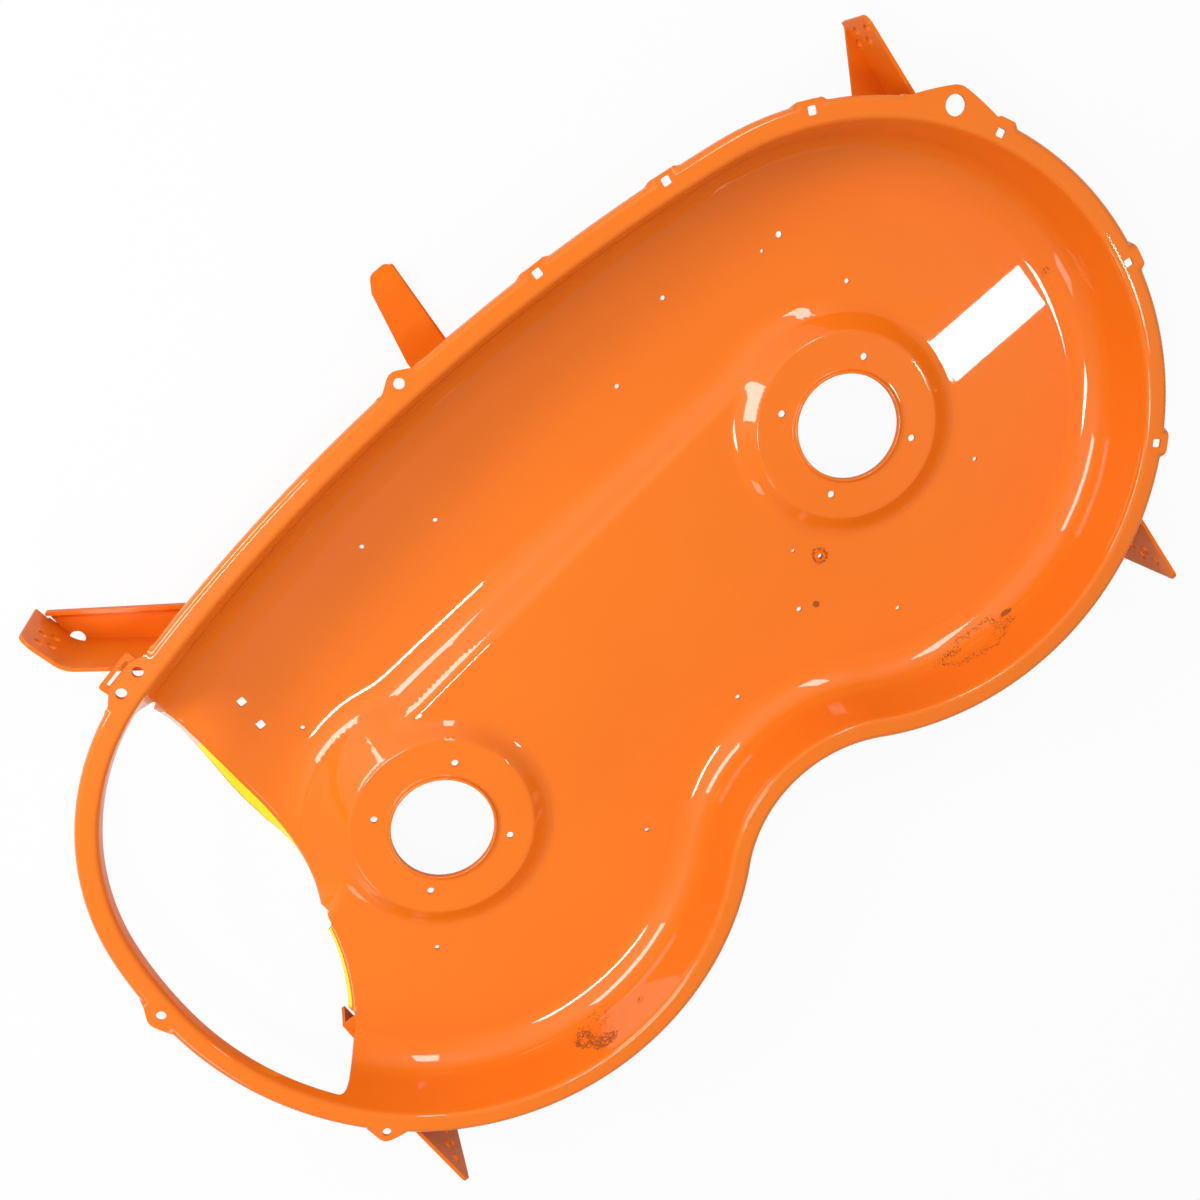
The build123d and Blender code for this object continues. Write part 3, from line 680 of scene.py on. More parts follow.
@dataclass(frozen=True)
class Lip:
    """A bent edge along the discharge opening, between two distances along it."""

    start: float
    end: float
    radius: float
    angle: float
    drop: float
    fade: float = 12.0
    flare: float = 0.0
    sheet: float = 0.0

    def bulge(self, place: np.ndarray) -> np.ndarray:
        """A hump from 0 at both ends to 1 in the middle: sine squared of the share of the way."""
        share = np.clip((place - self.start) / (self.end - self.start), 0.0, 1.0)
        return np.sin(share * math.pi) ** 2

    def turned(self, place: np.ndarray) -> np.ndarray:
        """The angle of the fully bent lip, less in its flared middle."""
        return self.angle * (1.0 - self.flare * self.bulge(place))

    def bend(self, place: np.ndarray) -> np.ndarray:
        """The angle that the lip is bent by, down to nothing at its ends."""
        return self.turned(place) * self.share(place)

    def reach(self, place: np.ndarray) -> np.ndarray:
        """Width of the lip, so that its outer face comes down to the same level all along.

        Args:
            place: Distances along the edge.

        Returns:
            Radius times angle, and the straight part: what is left of the drop over the sine.
        """
        angle = self.turned(place)
        curved = self.radius * (1.0 - np.cos(angle))
        curved += self.sheet * (np.cos(angle) - math.cos(self.angle))
        return (self.radius * angle + (self.drop - curved) / np.sin(angle)) * self.share(place)

    def share(self, place: np.ndarray) -> np.ndarray:
        """How fully the lip stands at distances along the edge, from 0 to 1."""
        rise = smoothstep(self.start, self.start + self.fade, place)
        fall = smoothstep(self.end - self.fade, self.end, place)
        return rise * (1.0 - fall)


@dataclass(frozen=True)
class Opening:
    """The discharge opening: its edge in the floor, its lips and the bar that closes it."""

    bar_z: float = 46.0
    front: tuple[float, float] = (87.0, -320.0)
    tunnel: tuple[float, float] = (101.0, -140.0)
    bend: tuple[float, float] = (112.5, -79.0)
    crease: tuple[float, float] = (143.0, -12.0)
    plateau: tuple[float, float] = (169.0, 40.0)
    rear: tuple[float, float] = (251.0, 117.0)
    corner: float = 15.0
    front_gap: float = 1.0
    bar_gap: float = 4.0
    reach: float = 60.0
    lip_low: float = -52.0
    tunnel_lip: tuple[Point, Point] = ((91.0, -276.0), (139.0, -18.0))
    tunnel_radius: float = 7.0
    tunnel_angle: float = math.radians(60.0)
    tunnel_flare: float = 0.53
    plateau_lip: tuple[Point, Point] = ((146.0, -6.0), (203.0, 78.0))
    plateau_radius: float = 5.0
    plateau_angle: float = math.radians(80.0)
    plateau_drop: float = 10.0

    @cached_property
    def edge(self) -> ArcChain:
        """The edge in plan from front to rear; depth is counted into the sheet, to its left."""
        arcs = (
            straight(self.front, self.tunnel),
            arc_through(self.tunnel, self.bend, self.crease, True),
            arc_through(self.crease, self.plateau, self.rear, True),
        )
        return ArcChain(arcs)

    def lips(self, sheet: Sheet) -> tuple[Lip, Lip]:
        """The lips of the opening's edge.

        Args:
            sheet: Sizes of the sheet.

        Returns:
            The lip along the tunnel and ramp, and the one along the plateau.
        """
        ends = self.edge.nearest(np.array(self.tunnel_lip + self.plateau_lip))[2]
        drop = sheet.tunnel_z - self.lip_low - sheet.thickness * math.cos(self.tunnel_angle)
        tunnel = Lip(
            ends[0],
            ends[1],
            self.tunnel_radius,
            self.tunnel_angle,
            drop,
            flare=self.tunnel_flare,
            sheet=sheet.thickness,
        )
        plateau = Lip(ends[2], ends[3], self.plateau_radius, self.plateau_angle, self.plateau_drop)
        return tunnel, plateau


@dataclass(frozen=True)
class FilmStretch:
    """A stretch of label film on a lip.

    start and end are distances along the opening's edge, low and high widths beyond it,
    replaced is the solid that it stands for, and a film that isn't whole is pale at its ends.
    """

    name: str
    start: float
    end: float
    low: float
    high: float
    replaced: str = ""
    whole: bool = False


FILMS = (
    FilmStretch("tunnel_film", 60.0, 256.0, 5.5, 19.0, "tunnel_edge_strip"),
    FilmStretch("tunnel_film_end", 256.0, 306.0, 5.5, 19.0),
    FilmStretch("plateau_film", 323.5, 419.0, 2.5, 13.0, "plateau_edge_strip", True),
)


@dataclass
class Cloud:
    """Points of the sheet: where they lie unrolled, in space, and their normals."""

    flat: list[np.ndarray] = field(default_factory=list)
    space: list[np.ndarray] = field(default_factory=list)
    normal: list[np.ndarray] = field(default_factory=list)
    loop: list[np.ndarray] = field(default_factory=list)
    edges: list[np.ndarray] = field(default_factory=list)
    count: int = 0
    loops: int = 0

    def add(
        self, flat: np.ndarray, space: np.ndarray, normal: np.ndarray, closed: bool = False
    ) -> None:
        """Adds points; a closed run of them becomes a loop with edges between neighbours.

        Args:
            flat: Unrolled points.
            space: The same points in space.
            normal: Their normals.
            closed: Whether they go round a closed edge.
        """
        size = len(flat)
        self.flat.append(flat)
        self.space.append(space)
        self.normal.append(normal)
        if closed:
            index = self.count + np.arange(size)
            self.edges.append(np.stack([index, np.roll(index, -1)], axis=1))
            self.loop.append(np.full(size, self.loops))
            self.loops += 1
        else:
            self.loop.append(np.full(size, -1))
        self.count += size


def chunks_in_box(
    points: np.ndarray, low: np.ndarray, high: np.ndarray, size: int
) -> list[np.ndarray]:
    """Indices of the points inside an upright box, in chunks that fit the memory.

    Args:
        points: Points, one row each.
        low: The box's lowest corner.
        high: Its highest corner.
        size: About how many points a chunk holds.

    Returns:
        The chunks, at least one.
    """
    near = np.flatnonzero(np.all((points >= low) & (points <= high), axis=1))
    return np.array_split(near, max(1, len(near) // size))


def inside_polygon(points: np.ndarray, polygon: np.ndarray, size: int = 4000) -> np.ndarray:
    """Whether points lie inside a closed polygon, by counting the edges to their right.

    Args:
        points: Points, one row each.
        polygon: Corners in order.
        size: About how many points are worked on at once.

    Returns:
        True for each point inside.
    """
    result = np.zeros(len(points), bool)
    start, end = polygon, np.roll(polygon, -1, axis=0)
    for chunk in chunks_in_box(points, polygon.min(axis=0), polygon.max(axis=0), size):
        x, y = points[chunk, 0][:, None], points[chunk, 1][:, None]
        spans = (start[:, 1] > y) != (end[:, 1] > y)
        rise = np.where(end[:, 1] == start[:, 1], TINY, end[:, 1] - start[:, 1])
        cross = start[:, 0] + (y - start[:, 1]) / rise * (end[:, 0] - start[:, 0])
        result[chunk] = np.sum(spans & (x < cross), axis=1) % 2 == 1
    return result


def distance_to(
    points: np.ndarray, others: np.ndarray, reach: float, size: int = 2000
) -> np.ndarray:
    """Distance from points to the nearest of other points, where it is under reach.

    Args:
        points: Points, one row each.
        others: The other points.
        reach: Farthest distance of interest.
        size: About how many points are worked on at once.

    Returns:
        Distances, or reach where nothing is that near.
    """
    result = np.full(len(points), reach)
    low, high = others.min(axis=0) - reach, others.max(axis=0) + reach
    for chunk in chunks_in_box(points, low, high, size):
        gaps = np.linalg.norm(points[chunk][:, None] - others[None], axis=2)
        result[chunk] = np.minimum(gaps.min(axis=1), reach)
    return result


@dataclass(frozen=True)
class PointSpread:
    """Where the free points of the sheet lie, and how far apart.

    Depths count from the rim, widths from the start of the roll or of a lip, gaps from the
    opening's edge, ramp rows from the ramp's crest and pad rings from the spindle axis.
    """

    flange_depths: Steps = (6.0, 8.5, 11.2, 13.8, 15.95, 17.1, 18.2, 19.1, 19.9, 20.6, 21.4)
    wall_depths: Steps = (22.98, 24.5, 26.1, 27.7, 29.3, 30.9, 32.6, 34.4, 36.3)
    hollow_depths: Steps = (38.4, 40.8, 43.6, 46.8, 50.4, 54.4, 58.8, 63.6, 68.8, 74.4, 80.4)
    roll_widths: Steps = (1.6, 3.2, 4.8, 6.4, 8.0, 9.8, 12.2, 14.6, 17.0, 19.4)
    roll_margin: float = 1.2
    lip_widths: Steps = (0.0, 1.3, 2.6, 3.9, 5.2, 6.5, 8.0, 10.0, 12.0, 14.0, 16.0)
    lip_margin: float = 0.9
    lip_step: float = 3.2
    edge_gaps: Steps = (1.3, 2.8, 5.0)
    edge_margin: float = 1.2
    rings_on_pad: Steps = (60.0, 65.0, 71.0, 77.0, 82.0, 84.5, 86.2, 87.2, 88.3, 89.4)
    rings_beyond: Steps = (91.0, 93.5, 96.5, 99.0, 101.5, 104.0, 106.5, 109.0, 112.0, 116.0, 121.0)
    ring_density: float = 1.25
    ring_whole: float = 104.5
    ring_ahead: float = -4.0
    ring_end: float = 124.0
    crest_rows: Steps = (-16.0, -11.0, -7.5, -5.0, -2.8, -1.0, 0.8, 2.8, 5.0, 8.0, 12.0, 16.0)
    foot_rows: Steps = (19.5, 22.5, 25.5, 28.5, 31.5, 34.5, 38.0, 42.0, 47.0, 53.0)
    row_step: float = 6.0
    row_start: float = 106.0
    row_error: float = 0.01
    grid_step: float = 8.5
    grid_rise: float = 0.866
    grid_x: Point = (-850.0, 330.0)
    grid_y: Point = (-350.0, 310.0)
    grid_gap: float = 2.0
    grid_ahead: Point = (-19.0, 56.0)
    clear_of_edges: float = 1.4
    clear_of_holes: float = 1.1
    clear_search: float = 4.0


@dataclass
class DeckSheet:
    """The one stamped sheet as a dense closed mesh with exact normals."""

    sheet: Sheet = Sheet()
    opening: Opening = Opening()
    seat: SpindleSeat = SpindleSeat()
    spread: PointSpread = PointSpread()
    rim_points: int = 700
    loop_points: int = 1000
    lip_points: int = 190
    bar_points: int = 150
    corner_points: int = 11
    edge_samples: int = 4000
    unrolled_depth: float = 84.0
    unroll_step: float = 0.05
    square_ear_stand: float = 3.0
    ear_root_tuck: float = 1.0
    ear_fade: Point = (5.0, 7.0)
    merge_distance: float = 1e-5
    film_rows: int = 24
    film_step: float = 2.5
    film_columns: int = 9
    film_margin: float = 1.2
    film_least: float = 0.2
    film_lifts: Point = (0.08, 0.38)

    def __post_init__(self) -> None:
        """Works out the outline, the form, the lips and the table that unrolls the wall."""
        sheet, step = self.sheet, self.unroll_step
        self.rim = rim_chain(sheet, RimSizes())
        self.form = PressedForm(sheet, self.rim, ramp_chain(sheet))
        self.lips = self.opening.lips(sheet)
        opened = sheet.rim_z - self.opening.bar_z
        self.bar_depth = sheet.flange_width + opened * math.tan(sheet.draft)
        depth = np.arange(0.0, self.unrolled_depth + step / 2.0, step)
        deep = self.form.walled(depth, np.full_like(depth, sheet.tunnel_z), sheet.tunnel_radius)
        stretch = np.hypot(1.0, np.gradient(deep, depth))
        laid = np.concatenate([[0.0], np.cumsum((stretch[1:] + stretch[:-1]) / 2.0 * step)])
        self.table = (depth, (laid[-1] - laid) - (depth[-1] - depth))

    def shift(self, depth: np.ndarray) -> np.ndarray:
        """How far a point at a depth moves outward when the wall is laid flat."""
        return np.interp(np.maximum(depth, self.sheet.rim_outer_radius), *self.table)

    def unroll(self, plan: Plan) -> np.ndarray:
        """Lays plan points flat: the steep wall is drawn out to its own length beside the floor."""
        depth, inward, _ = self.rim.nearest(plan)
        return plan - inward * self.shift(depth)[:, None]

    def on_form(self, plan: Plan) -> tuple[np.ndarray, np.ndarray]:
        """Points in space and normals over plan points."""
        return np.column_stack([plan, self.form.height(plan)]), self.form.normal(plan)

    def laid(self, plan: Plan) -> Row:
        """The row of unrolled points, points in space and normals over plan points."""
        return self.unroll(plan), *self.on_form(plan)

    def ear_reach(self, ear: Ear, away: np.ndarray, hole_depth: float) -> np.ndarray:
        """How far an ear stands out from the start of the rim's roll, along its width.

        Args:
            ear: The ear.
            away: Distance along the rim from the ear's middle.
            hole_depth: Depth of its hole's centre from the rim outline.

        Returns:
            The hull of the nose's circle and of the root, over the distances given.
        """
        start = self.sheet.rim_outer_radius
        aside = np.maximum(np.abs(away) - ear.half_gap, 0.0)
        if ear.square:
            return np.full_like(aside, start + self.square_ear_stand)
        height, low = start - hole_depth, start - self.ear_root_tuck
        root, base = ear.root / 2.0, low - height
        lean = math.asin(ear.nose / math.hypot(root, base)) - math.atan2(base, root)
        tip = height + arc_height(ear.nose, aside)
        flank = height + (ear.nose - aside * math.sin(lean)) / math.cos(lean)
        return np.where(aside < ear.nose * math.sin(lean), tip, np.maximum(flank, low))

    def roll(self, place: np.ndarray) -> tuple[np.ndarray, np.ndarray]:
        """Width and bend of the rim's rolled edge at distances along the rim.

        Args:
            place: Distances along the rim.

        Returns:
            The width of the sheet beyond the start of the roll, and the angle it is bent by.
        """
        start, half = self.sheet.rim_outer_radius, self.rim.length / 2.0
        full = start * QUARTER_TURN + self.sheet.rim_skirt - start
        width, flat = np.full_like(place, full), np.zeros_like(place)
        for ear in RIM_EARS + RIM_SQUARES:
            depth, _, middle = self.rim.nearest(np.array([[ear.x, ear.y]]))
            away = (place - middle[0] + half) % self.rim.length - half
            reach = self.ear_reach(ear, away, float(depth[0]))
            edge = ear.root / 2.0 + ear.half_gap
            fade = edge - self.ear_fade[0], edge + self.ear_fade[1]
            share = 1.0 - smoothstep(*fade, np.abs(away))
            width = np.where(share > flat, full + (reach - full) * share, width)
            flat = np.maximum(flat, share)
        return width, (1.0 - flat) * QUARTER_TURN

    def bent(
        self,
        base: np.ndarray,
        out: np.ndarray,
        up: np.ndarray,
        width: np.ndarray,
        bend: np.ndarray,
        radius: float,
    ) -> tuple[np.ndarray, np.ndarray]:
        """Points on a strip of sheet that bends away from its face.

        A point turns by width over radius, up to the bend, and runs on straight from there.

        Args:
            base: Points where the bend starts.
            out: Unit vectors in the face, square to the bend.
            up: Normals of the face.
            width: Distance of each point from the bend's start, along the sheet.
            bend: The whole angle of the bend.
            radius: Radius of the face in the bend.

        Returns:
            Points and normals.
        """
        turn = np.minimum(width / radius, bend)
        rest = width - radius * turn
        along = radius * np.sin(turn) + rest * np.cos(turn)
        down = radius * (1.0 - np.cos(turn)) + rest * np.sin(turn)
        space = base + out * along[:, None] - up * down[:, None]
        return space, out * np.sin(turn)[:, None] + up * np.cos(turn)[:, None]

    def rim_row(self, place: np.ndarray, width: np.ndarray) -> Row:
        """A row of points on the rolled edge.

        Args:
            place: Distances along the rim.
            width: Distances beyond the start of the roll.

        Returns:
            Unrolled points, points in space and normals.
        """
        point, inward = self.rim.at(place)
        _, bend = self.roll(place)
        start = self.sheet.rim_outer_radius
        base = np.column_stack([point + inward * start, np.full(len(point), self.sheet.rim_z)])
        out = np.column_stack([-inward, np.zeros(len(point))])
        up = np.tile([0.0, 0.0, 1.0], (len(point), 1))
        space, normal = self.bent(base, out, up, width, bend, start)
        flat = point + inward * (start - width - self.shift(np.array([start])))[:, None]
        return flat, space, normal

    def lip_row(self, place: np.ndarray, width: np.ndarray, lift: float = 0.0) -> Row:
        """Points on the lips of the discharge opening.

        Args:
            place: Distances along the opening's edge.
            width: Distances beyond the edge.
            lift: Distance off the lip's face.

        Returns:
            Unrolled points, points in space and normals.
        """
        point, inward = self.opening.edge.at(place)
        base, up = self.on_form(point)
        out = np.column_stack([-inward, np.zeros(len(point))])
        out = out - up * np.sum(out * up, axis=1)[:, None]
        out = out / np.linalg.norm(out, axis=1)[:, None]
        space, normal = base.copy(), up.copy()
        for lip in self.lips:
            held = lip.share(place)[:, None] > 0.0
            bent, turned = self.bent(base, out, up, width, lip.bend(place), lip.radius)
            space, normal = np.where(held, bent, space), np.where(held, turned, normal)
        flat = self.unroll(point) - inward * width[:, None]
        return flat, space + normal * lift, normal

    def lip_width(self, place: np.ndarray) -> np.ndarray:
        """Width of the bent sheet at distances along the opening's edge."""
        return sum(lip.reach(place) for lip in self.lips)

    def opening_ends(self) -> tuple[float, float, float, float]:
        """Where the opening's edge meets the bar under the rim.

        Returns:
            The two distances along the edge and the two along the rim.
        """
        place = np.linspace(0.0, self.opening.edge.length, self.edge_samples)
        point, _ = self.opening.edge.at(place)
        depth, _, along = self.rim.nearest(point)
        first, last = np.flatnonzero(depth > self.bar_depth)[[0, -1]]
        return place[first], place[last], along[first], along[last]

    def opening_loop(self) -> Row:
        """The closed edge of the discharge opening: lips, a rounded corner and the bar.

        Returns:
            Unrolled points, points in space and normals.
        """
        opening = self.opening
        first, last, rim_front, rim_rear = self.opening_ends()
        place = np.linspace(first + opening.front_gap, last - opening.corner, self.lip_points)
        lips = self.lip_row(place, self.lip_width(place))
        ends = rim_rear + opening.corner, rim_front - opening.bar_gap
        point, inward = self.rim.at(np.linspace(*ends, self.bar_points))
        bar = self.laid(point + inward * self.bar_depth)
        start, end = lips[0][-1], bar[0][0]
        middle = self.unroll(opening.edge.at(np.array([last]))[0])[0]
        share = np.linspace(0.0, 1.0, self.corner_points)[1:-1, None]
        curve = (1 - share) ** 2 * start + 2 * share * (1 - share) * middle + share**2 * end
        rows = (lips, (curve, *self.on_form(self.rolled_back(curve))), bar)
        return tuple(np.concatenate(parts) for parts in zip(*rows))

    def rolled_back(self, flat: np.ndarray, rounds: int = 60, gain: float = 0.2) -> Plan:
        """Plan points of unrolled ones, found by repeated correction.

        Args:
            flat: Unrolled points.
            rounds: How often they are corrected.
            gain: The share of the error that each round takes away.

        Returns:
            The plan points.
        """
        plan = flat.copy()
        for _ in range(rounds):
            plan = plan + (flat - self.unroll(plan)) * gain
        return plan

    def holes(self) -> list[Hole]:
        """Every hole of the sheet apart from the bores.

        Returns:
            Holes in the floor, bolt holes of the pads and holes of the rim's ears.
        """
        holes = [Hole(x, y, size) for x, y, size in PLATE_HOLES]
        square, turn = SQUARE_SIDE / 2.0, -TRACTOR_SKEW
        holes += [Hole(x, y, square, HoleShape.SQUARE, turn) for x, y in SQUARE_PLATE_HOLES]
        for x in (0.0, -self.sheet.spacing):
            holes += self.seat.holes(x)
        for ear in RIM_EARS + RIM_SQUARES:
            _, inward, _ = self.rim.nearest(np.array([[ear.x, ear.y]]))
            along = np.array([-inward[0][1], inward[0][0]])
            turn = heading(inward[0])
            if ear.square:
                holes.append(Hole(ear.x, ear.y, ear.square / 2.0, HoleShape.SQUARE, turn))
            for sign in (-1.0, 1.0) if ear.half_gap else (0.0,):
                place = np.array([ear.x, ear.y]) + along * ear.half_gap * sign
                if ear.hole:
                    holes.append(Hole(place[0], place[1], ear.hole))
        return holes

    def rows(self) -> list[Row]:
        """Free points: rows along the rim, the wall, the lips and the edge, and the inner ones.

        Returns:
            Rows of unrolled points, points in space and normals.
        """
        spread, edge = self.spread, self.opening.edge
        place = np.arange(self.rim_points) * self.rim.length / self.rim_points
        half = self.rim.length / self.rim_points / 2.0
        result = []
        depths = (*spread.flange_depths, *spread.wall_depths, *spread.hollow_depths)
        for number, depth in enumerate(depths):
            point, inward = self.rim.at(place + half * (number % 2))
            result.append(self.laid(point + inward * depth))
        for number, width in enumerate(spread.roll_widths):
            along = place + half * (number % 2)
            kept = along[self.roll(along)[0] > width + spread.roll_margin]
            result.append(self.rim_row(kept, np.full(len(kept), width)))
        edge_place = np.arange(0.0, edge.length, spread.lip_step)
        for number, width in enumerate(spread.lip_widths):
            along = edge_place + spread.lip_step / 2.0 * (number % 2)
            kept = along[self.lip_width(along) > width + spread.lip_margin]
            result.append(self.lip_row(kept, np.full(len(kept), width)))
        point, way = edge.at(edge_place)
        plans = [point + way * gap for gap in spread.edge_gaps]
        plans.append(np.concatenate([*self.pad_rings(), *self.ramp_rows(), self.grid()]))
        for plan in plans:
            result.append(self.laid(plan[self.rim.nearest(plan)[0] > self.unrolled_depth]))
        return [self.inside_opening(*row) for row in result]

    def inside_opening(self, flat: np.ndarray, space: np.ndarray, normal: np.ndarray) -> Row:
        """Drops the points of a row that lie past the opening's edge without being on its lips.

        Args:
            flat: Unrolled points.
            space: Points in space.
            normal: Normals.

        Returns:
            What is left of all three.
        """
        plan = space[:, :2]
        gap = self.opening.edge.nearest(plan)[0]
        past = (gap > -self.opening.reach) & (gap < self.spread.edge_margin)
        past &= self.rim.nearest(plan)[0] > self.bar_depth
        past &= np.abs(space[:, 2] - self.form.height(plan)) < SAME_PLACE
        return flat[~past], space[~past], normal[~past]

    def pad_rings(self) -> list[Plan]:
        """Rings of plan points round the pads, the wide ones only up to the ramp.

        Returns:
            The points of each ring.
        """
        spread, plans = self.spread, []
        for number, radius in enumerate((*spread.rings_on_pad, *spread.rings_beyond)):
            ring = circle(int(radius * spread.ring_density), 0.5 * (number % 2)) * radius
            for x in (0.0, -self.sheet.spacing):
                plan = ring + np.array([x, 0.0])
                ahead = self.form.ramp.nearest(plan)[0]
                plans.append(plan[(ahead < spread.ring_ahead) | (radius < spread.ring_whole)])
        return plans

    def ramp_rows(self) -> list[Plan]:
        """Rows of plan points along the ramp, outside the rings round the pads.

        Returns:
            The points of each row.
        """
        spread, ramp, plans = self.spread, self.form.ramp, []
        for number, ahead in enumerate((*spread.crest_rows, *spread.foot_rows)):
            place = np.arange(0.0, ramp.length, spread.row_step)
            point, forward = ramp.at(place + spread.row_step / 2.0 * (number % 2))
            plan = point + forward * ahead
            clear = spread.ring_end if ahead < spread.ring_ahead else spread.row_start
            own = np.abs(ramp.nearest(plan)[0] - ahead) < spread.row_error
            plans.append(plan[own & (self.form.axis_distance(plan) > clear)])
        return plans

    def grid(self) -> Plan:
        """Plan points on the flats, in staggered rows of even triangles.

        Returns:
            The points outside the rings and the ramp's rows.
        """
        spread, step = self.spread, self.spread.grid_step
        columns = np.arange(*spread.grid_x, step)
        across, along = np.meshgrid(columns, np.arange(*spread.grid_y, step * spread.grid_rise))
        across = across + (np.arange(len(across)) % 2)[:, None] * step / 2.0
        grid = np.stack([across.ravel(), along.ravel()], axis=1)
        ahead = self.form.ramp.nearest(grid)[0]
        flat = (ahead < spread.grid_ahead[0]) | (ahead > spread.grid_ahead[1])
        clear = spread.ring_end + spread.grid_gap
        return grid[flat & (self.form.axis_distance(grid) > clear)]

    def cloud(self) -> Cloud:
        """All points of the chamber face, loops first, with free points kept clear of them.

        Returns:
            The points and the edges of the loops.
        """
        cloud = Cloud()
        place = np.arange(self.loop_points) * self.rim.length / self.loop_points
        cloud.add(*self.rim_row(place, self.roll(place)[0]), closed=True)
        cloud.add(*self.opening_loop(), closed=True)
        for x in (0.0, -self.sheet.spacing):
            cloud.add(*self.laid(self.seat.ring(x)), closed=True)
        for hole in self.holes():
            plan = hole.loop()
            flat, space, normal = self.laid(plan)
            if self.rim.nearest(plan)[0].min() < self.sheet.flange_width:
                space[:, 2] = self.sheet.rim_z
                normal = np.tile([0.0, 0.0, 1.0], (len(plan), 1))
            cloud.add(flat, space, normal, closed=True)
        loops, spread = list(cloud.flat), self.spread
        for row in self.rows():
            kept = np.ones(len(row[0]), bool)
            for number, loop in enumerate(loops):
                if number > 0:
                    kept &= ~inside_polygon(row[0], loop)
                clear = spread.clear_of_edges if number < 2 else spread.clear_of_holes
                kept &= distance_to(row[0], loop, spread.clear_search) > clear
            cloud.add(*(part[kept] for part in row))
        return cloud

    def chamber_face(self) -> tuple[np.ndarray, np.ndarray, np.ndarray, np.ndarray]:
        """Triangles of the chamber face.

        Returns:
            Points in space, normals, triangles and the number of each point's loop.
        """
        cloud = self.cloud()
        flat, loop = np.concatenate(cloud.flat), np.concatenate(cloud.loop)
        points = [Vector(point) for point in flat.tolist()]
        edges = np.concatenate(cloud.edges).tolist()
        result = delaunay_2d_cdt(points, edges, [], 0, self.merge_distance, True)
        origin = np.array([ids[0] if ids else -1 for ids in result[3]])
        faces = origin[np.array(result[2])]
        faces = faces[(faces >= 0).all(axis=1)]
        same = (loop[faces[:, 0]] == loop[faces[:, 1]]) & (loop[faces[:, 0]] == loop[faces[:, 2]])
        same &= loop[faces[:, 0]] >= 0
        middle = flat[faces].mean(axis=1)
        outside = ~inside_polygon(middle, cloud.flat[0])
        in_opening = inside_polygon(middle, cloud.flat[1])
        holed = same & (loop[faces[:, 0]] >= 2)
        faces = faces[~(holed | (same & (outside | in_opening)))]
        ends = flat[faces]
        first, second = ends[:, 1] - ends[:, 0], ends[:, 2] - ends[:, 0]
        area = first[:, 0] * second[:, 1] - first[:, 1] * second[:, 0]
        faces = np.where((area < 0.0)[:, None], faces[:, ::-1], faces)
        return np.concatenate(cloud.space), np.concatenate(cloud.normal), faces, loop

    def build(self) -> bpy.types.Object:
        """The whole sheet: chamber face, outer face, cut edges and collars.

        Returns:
            The sheet, one closed mesh with a normal for each corner of each face.
        """
        top, normal, faces, loop = self.chamber_face()
        count = len(top)
        bottom = top - normal * self.sheet.thickness
        sides = np.concatenate([faces[:, [0, 1]], faces[:, [1, 2]], faces[:, [2, 0]]])
        keys = np.sort(sides, axis=1)
        _, index, times = np.unique(keys, axis=0, return_index=True, return_counts=True)
        rim = sides[index[times == 1]]
        bore = (loop[rim[:, 0]] == loop[rim[:, 1]]) & np.isin(loop[rim[:, 0]], (2, 3))
        cut = rim[~bore]
        quads = np.stack([cut[:, 1], cut[:, 0], cut[:, 0] + count, cut[:, 1] + count], axis=1)
        points, normals = [top, bottom], [normal[faces], -normal[faces[:, ::-1]]]
        along = top[cut[:, 1]] - top[cut[:, 0]]
        outward = np.cross(along, normal[cut[:, 0]])
        outward /= np.maximum(np.linalg.norm(outward, axis=1), 1e-9)[:, None]
        quad_normals = np.repeat(outward[:, None], 4, axis=1)
        offset = 2 * count
        for number, x in ((2, 0.0), (3, -self.sheet.spacing)):
            ring = np.flatnonzero(loop == number)
            extra, strip, strip_normals = self.collar(ring, count, offset, x)
            points.append(extra)
            quads = np.concatenate([quads, strip])
            quad_normals = np.concatenate([quad_normals, strip_normals])
            offset += len(extra)
        triangles = np.concatenate([faces, faces[:, ::-1] + count])
        normals = [np.concatenate(normals).reshape(-1, 3), quad_normals.reshape(-1, 3)]
        place, normals = np.concatenate(points) * MM, np.concatenate(normals)
        return add_object(mesh_from("deck_sheet", place, [triangles, quads], normals))

    def collar(
        self, ring: np.ndarray, count: int, offset: int, x: float
    ) -> tuple[np.ndarray, np.ndarray, np.ndarray]:
        """The bore's upstanding collar: a profile carried round the spindle axis.

        Args:
            ring: Indices of the chamber face's ring, counter-clockwise.
            count: Number of points of the chamber face.
            offset: Index of the first new point.
            x: Place of the spindle axis.

        Returns:
            New points, quads and a normal for each corner of each quad.
        """
        profile = self.seat.profile(self.sheet.thickness)
        radial = np.column_stack([circle(len(ring)), np.zeros(len(ring))])
        points = radial[None] * profile[:, 0][:, None, None]
        points[:, :, 0] += x
        points[:, :, 2] = profile[:, 1][:, None]
        grid = offset + np.arange(points.shape[0] * points.shape[1]).reshape(points.shape[:2])
        grid = np.concatenate([ring[None], grid, (ring + count)[None]])
        ahead = np.roll(grid, -1, axis=1)
        quads = np.stack([grid[:-1], ahead[:-1], ahead[1:], grid[1:]], axis=2).reshape(-1, 4)
        ends = [(self.seat.loop, 0.0)], [(self.seat.loop, -self.sheet.thickness)]
        line = np.concatenate([ends[0], profile, ends[1]])
        slope = np.gradient(line, axis=0)
        slope /= np.linalg.norm(slope, axis=1)[:, None]
        tilt = np.stack([slope[:, 1], -slope[:, 0]], axis=1)
        tilt[0], tilt[-1] = (0.0, 1.0), (0.0, -1.0)
        normal = radial[None] * tilt[:, 0][:, None, None]
        normal[:, :, 2] = tilt[:, 1][:, None]
        nxt = np.roll(normal, -1, axis=1)
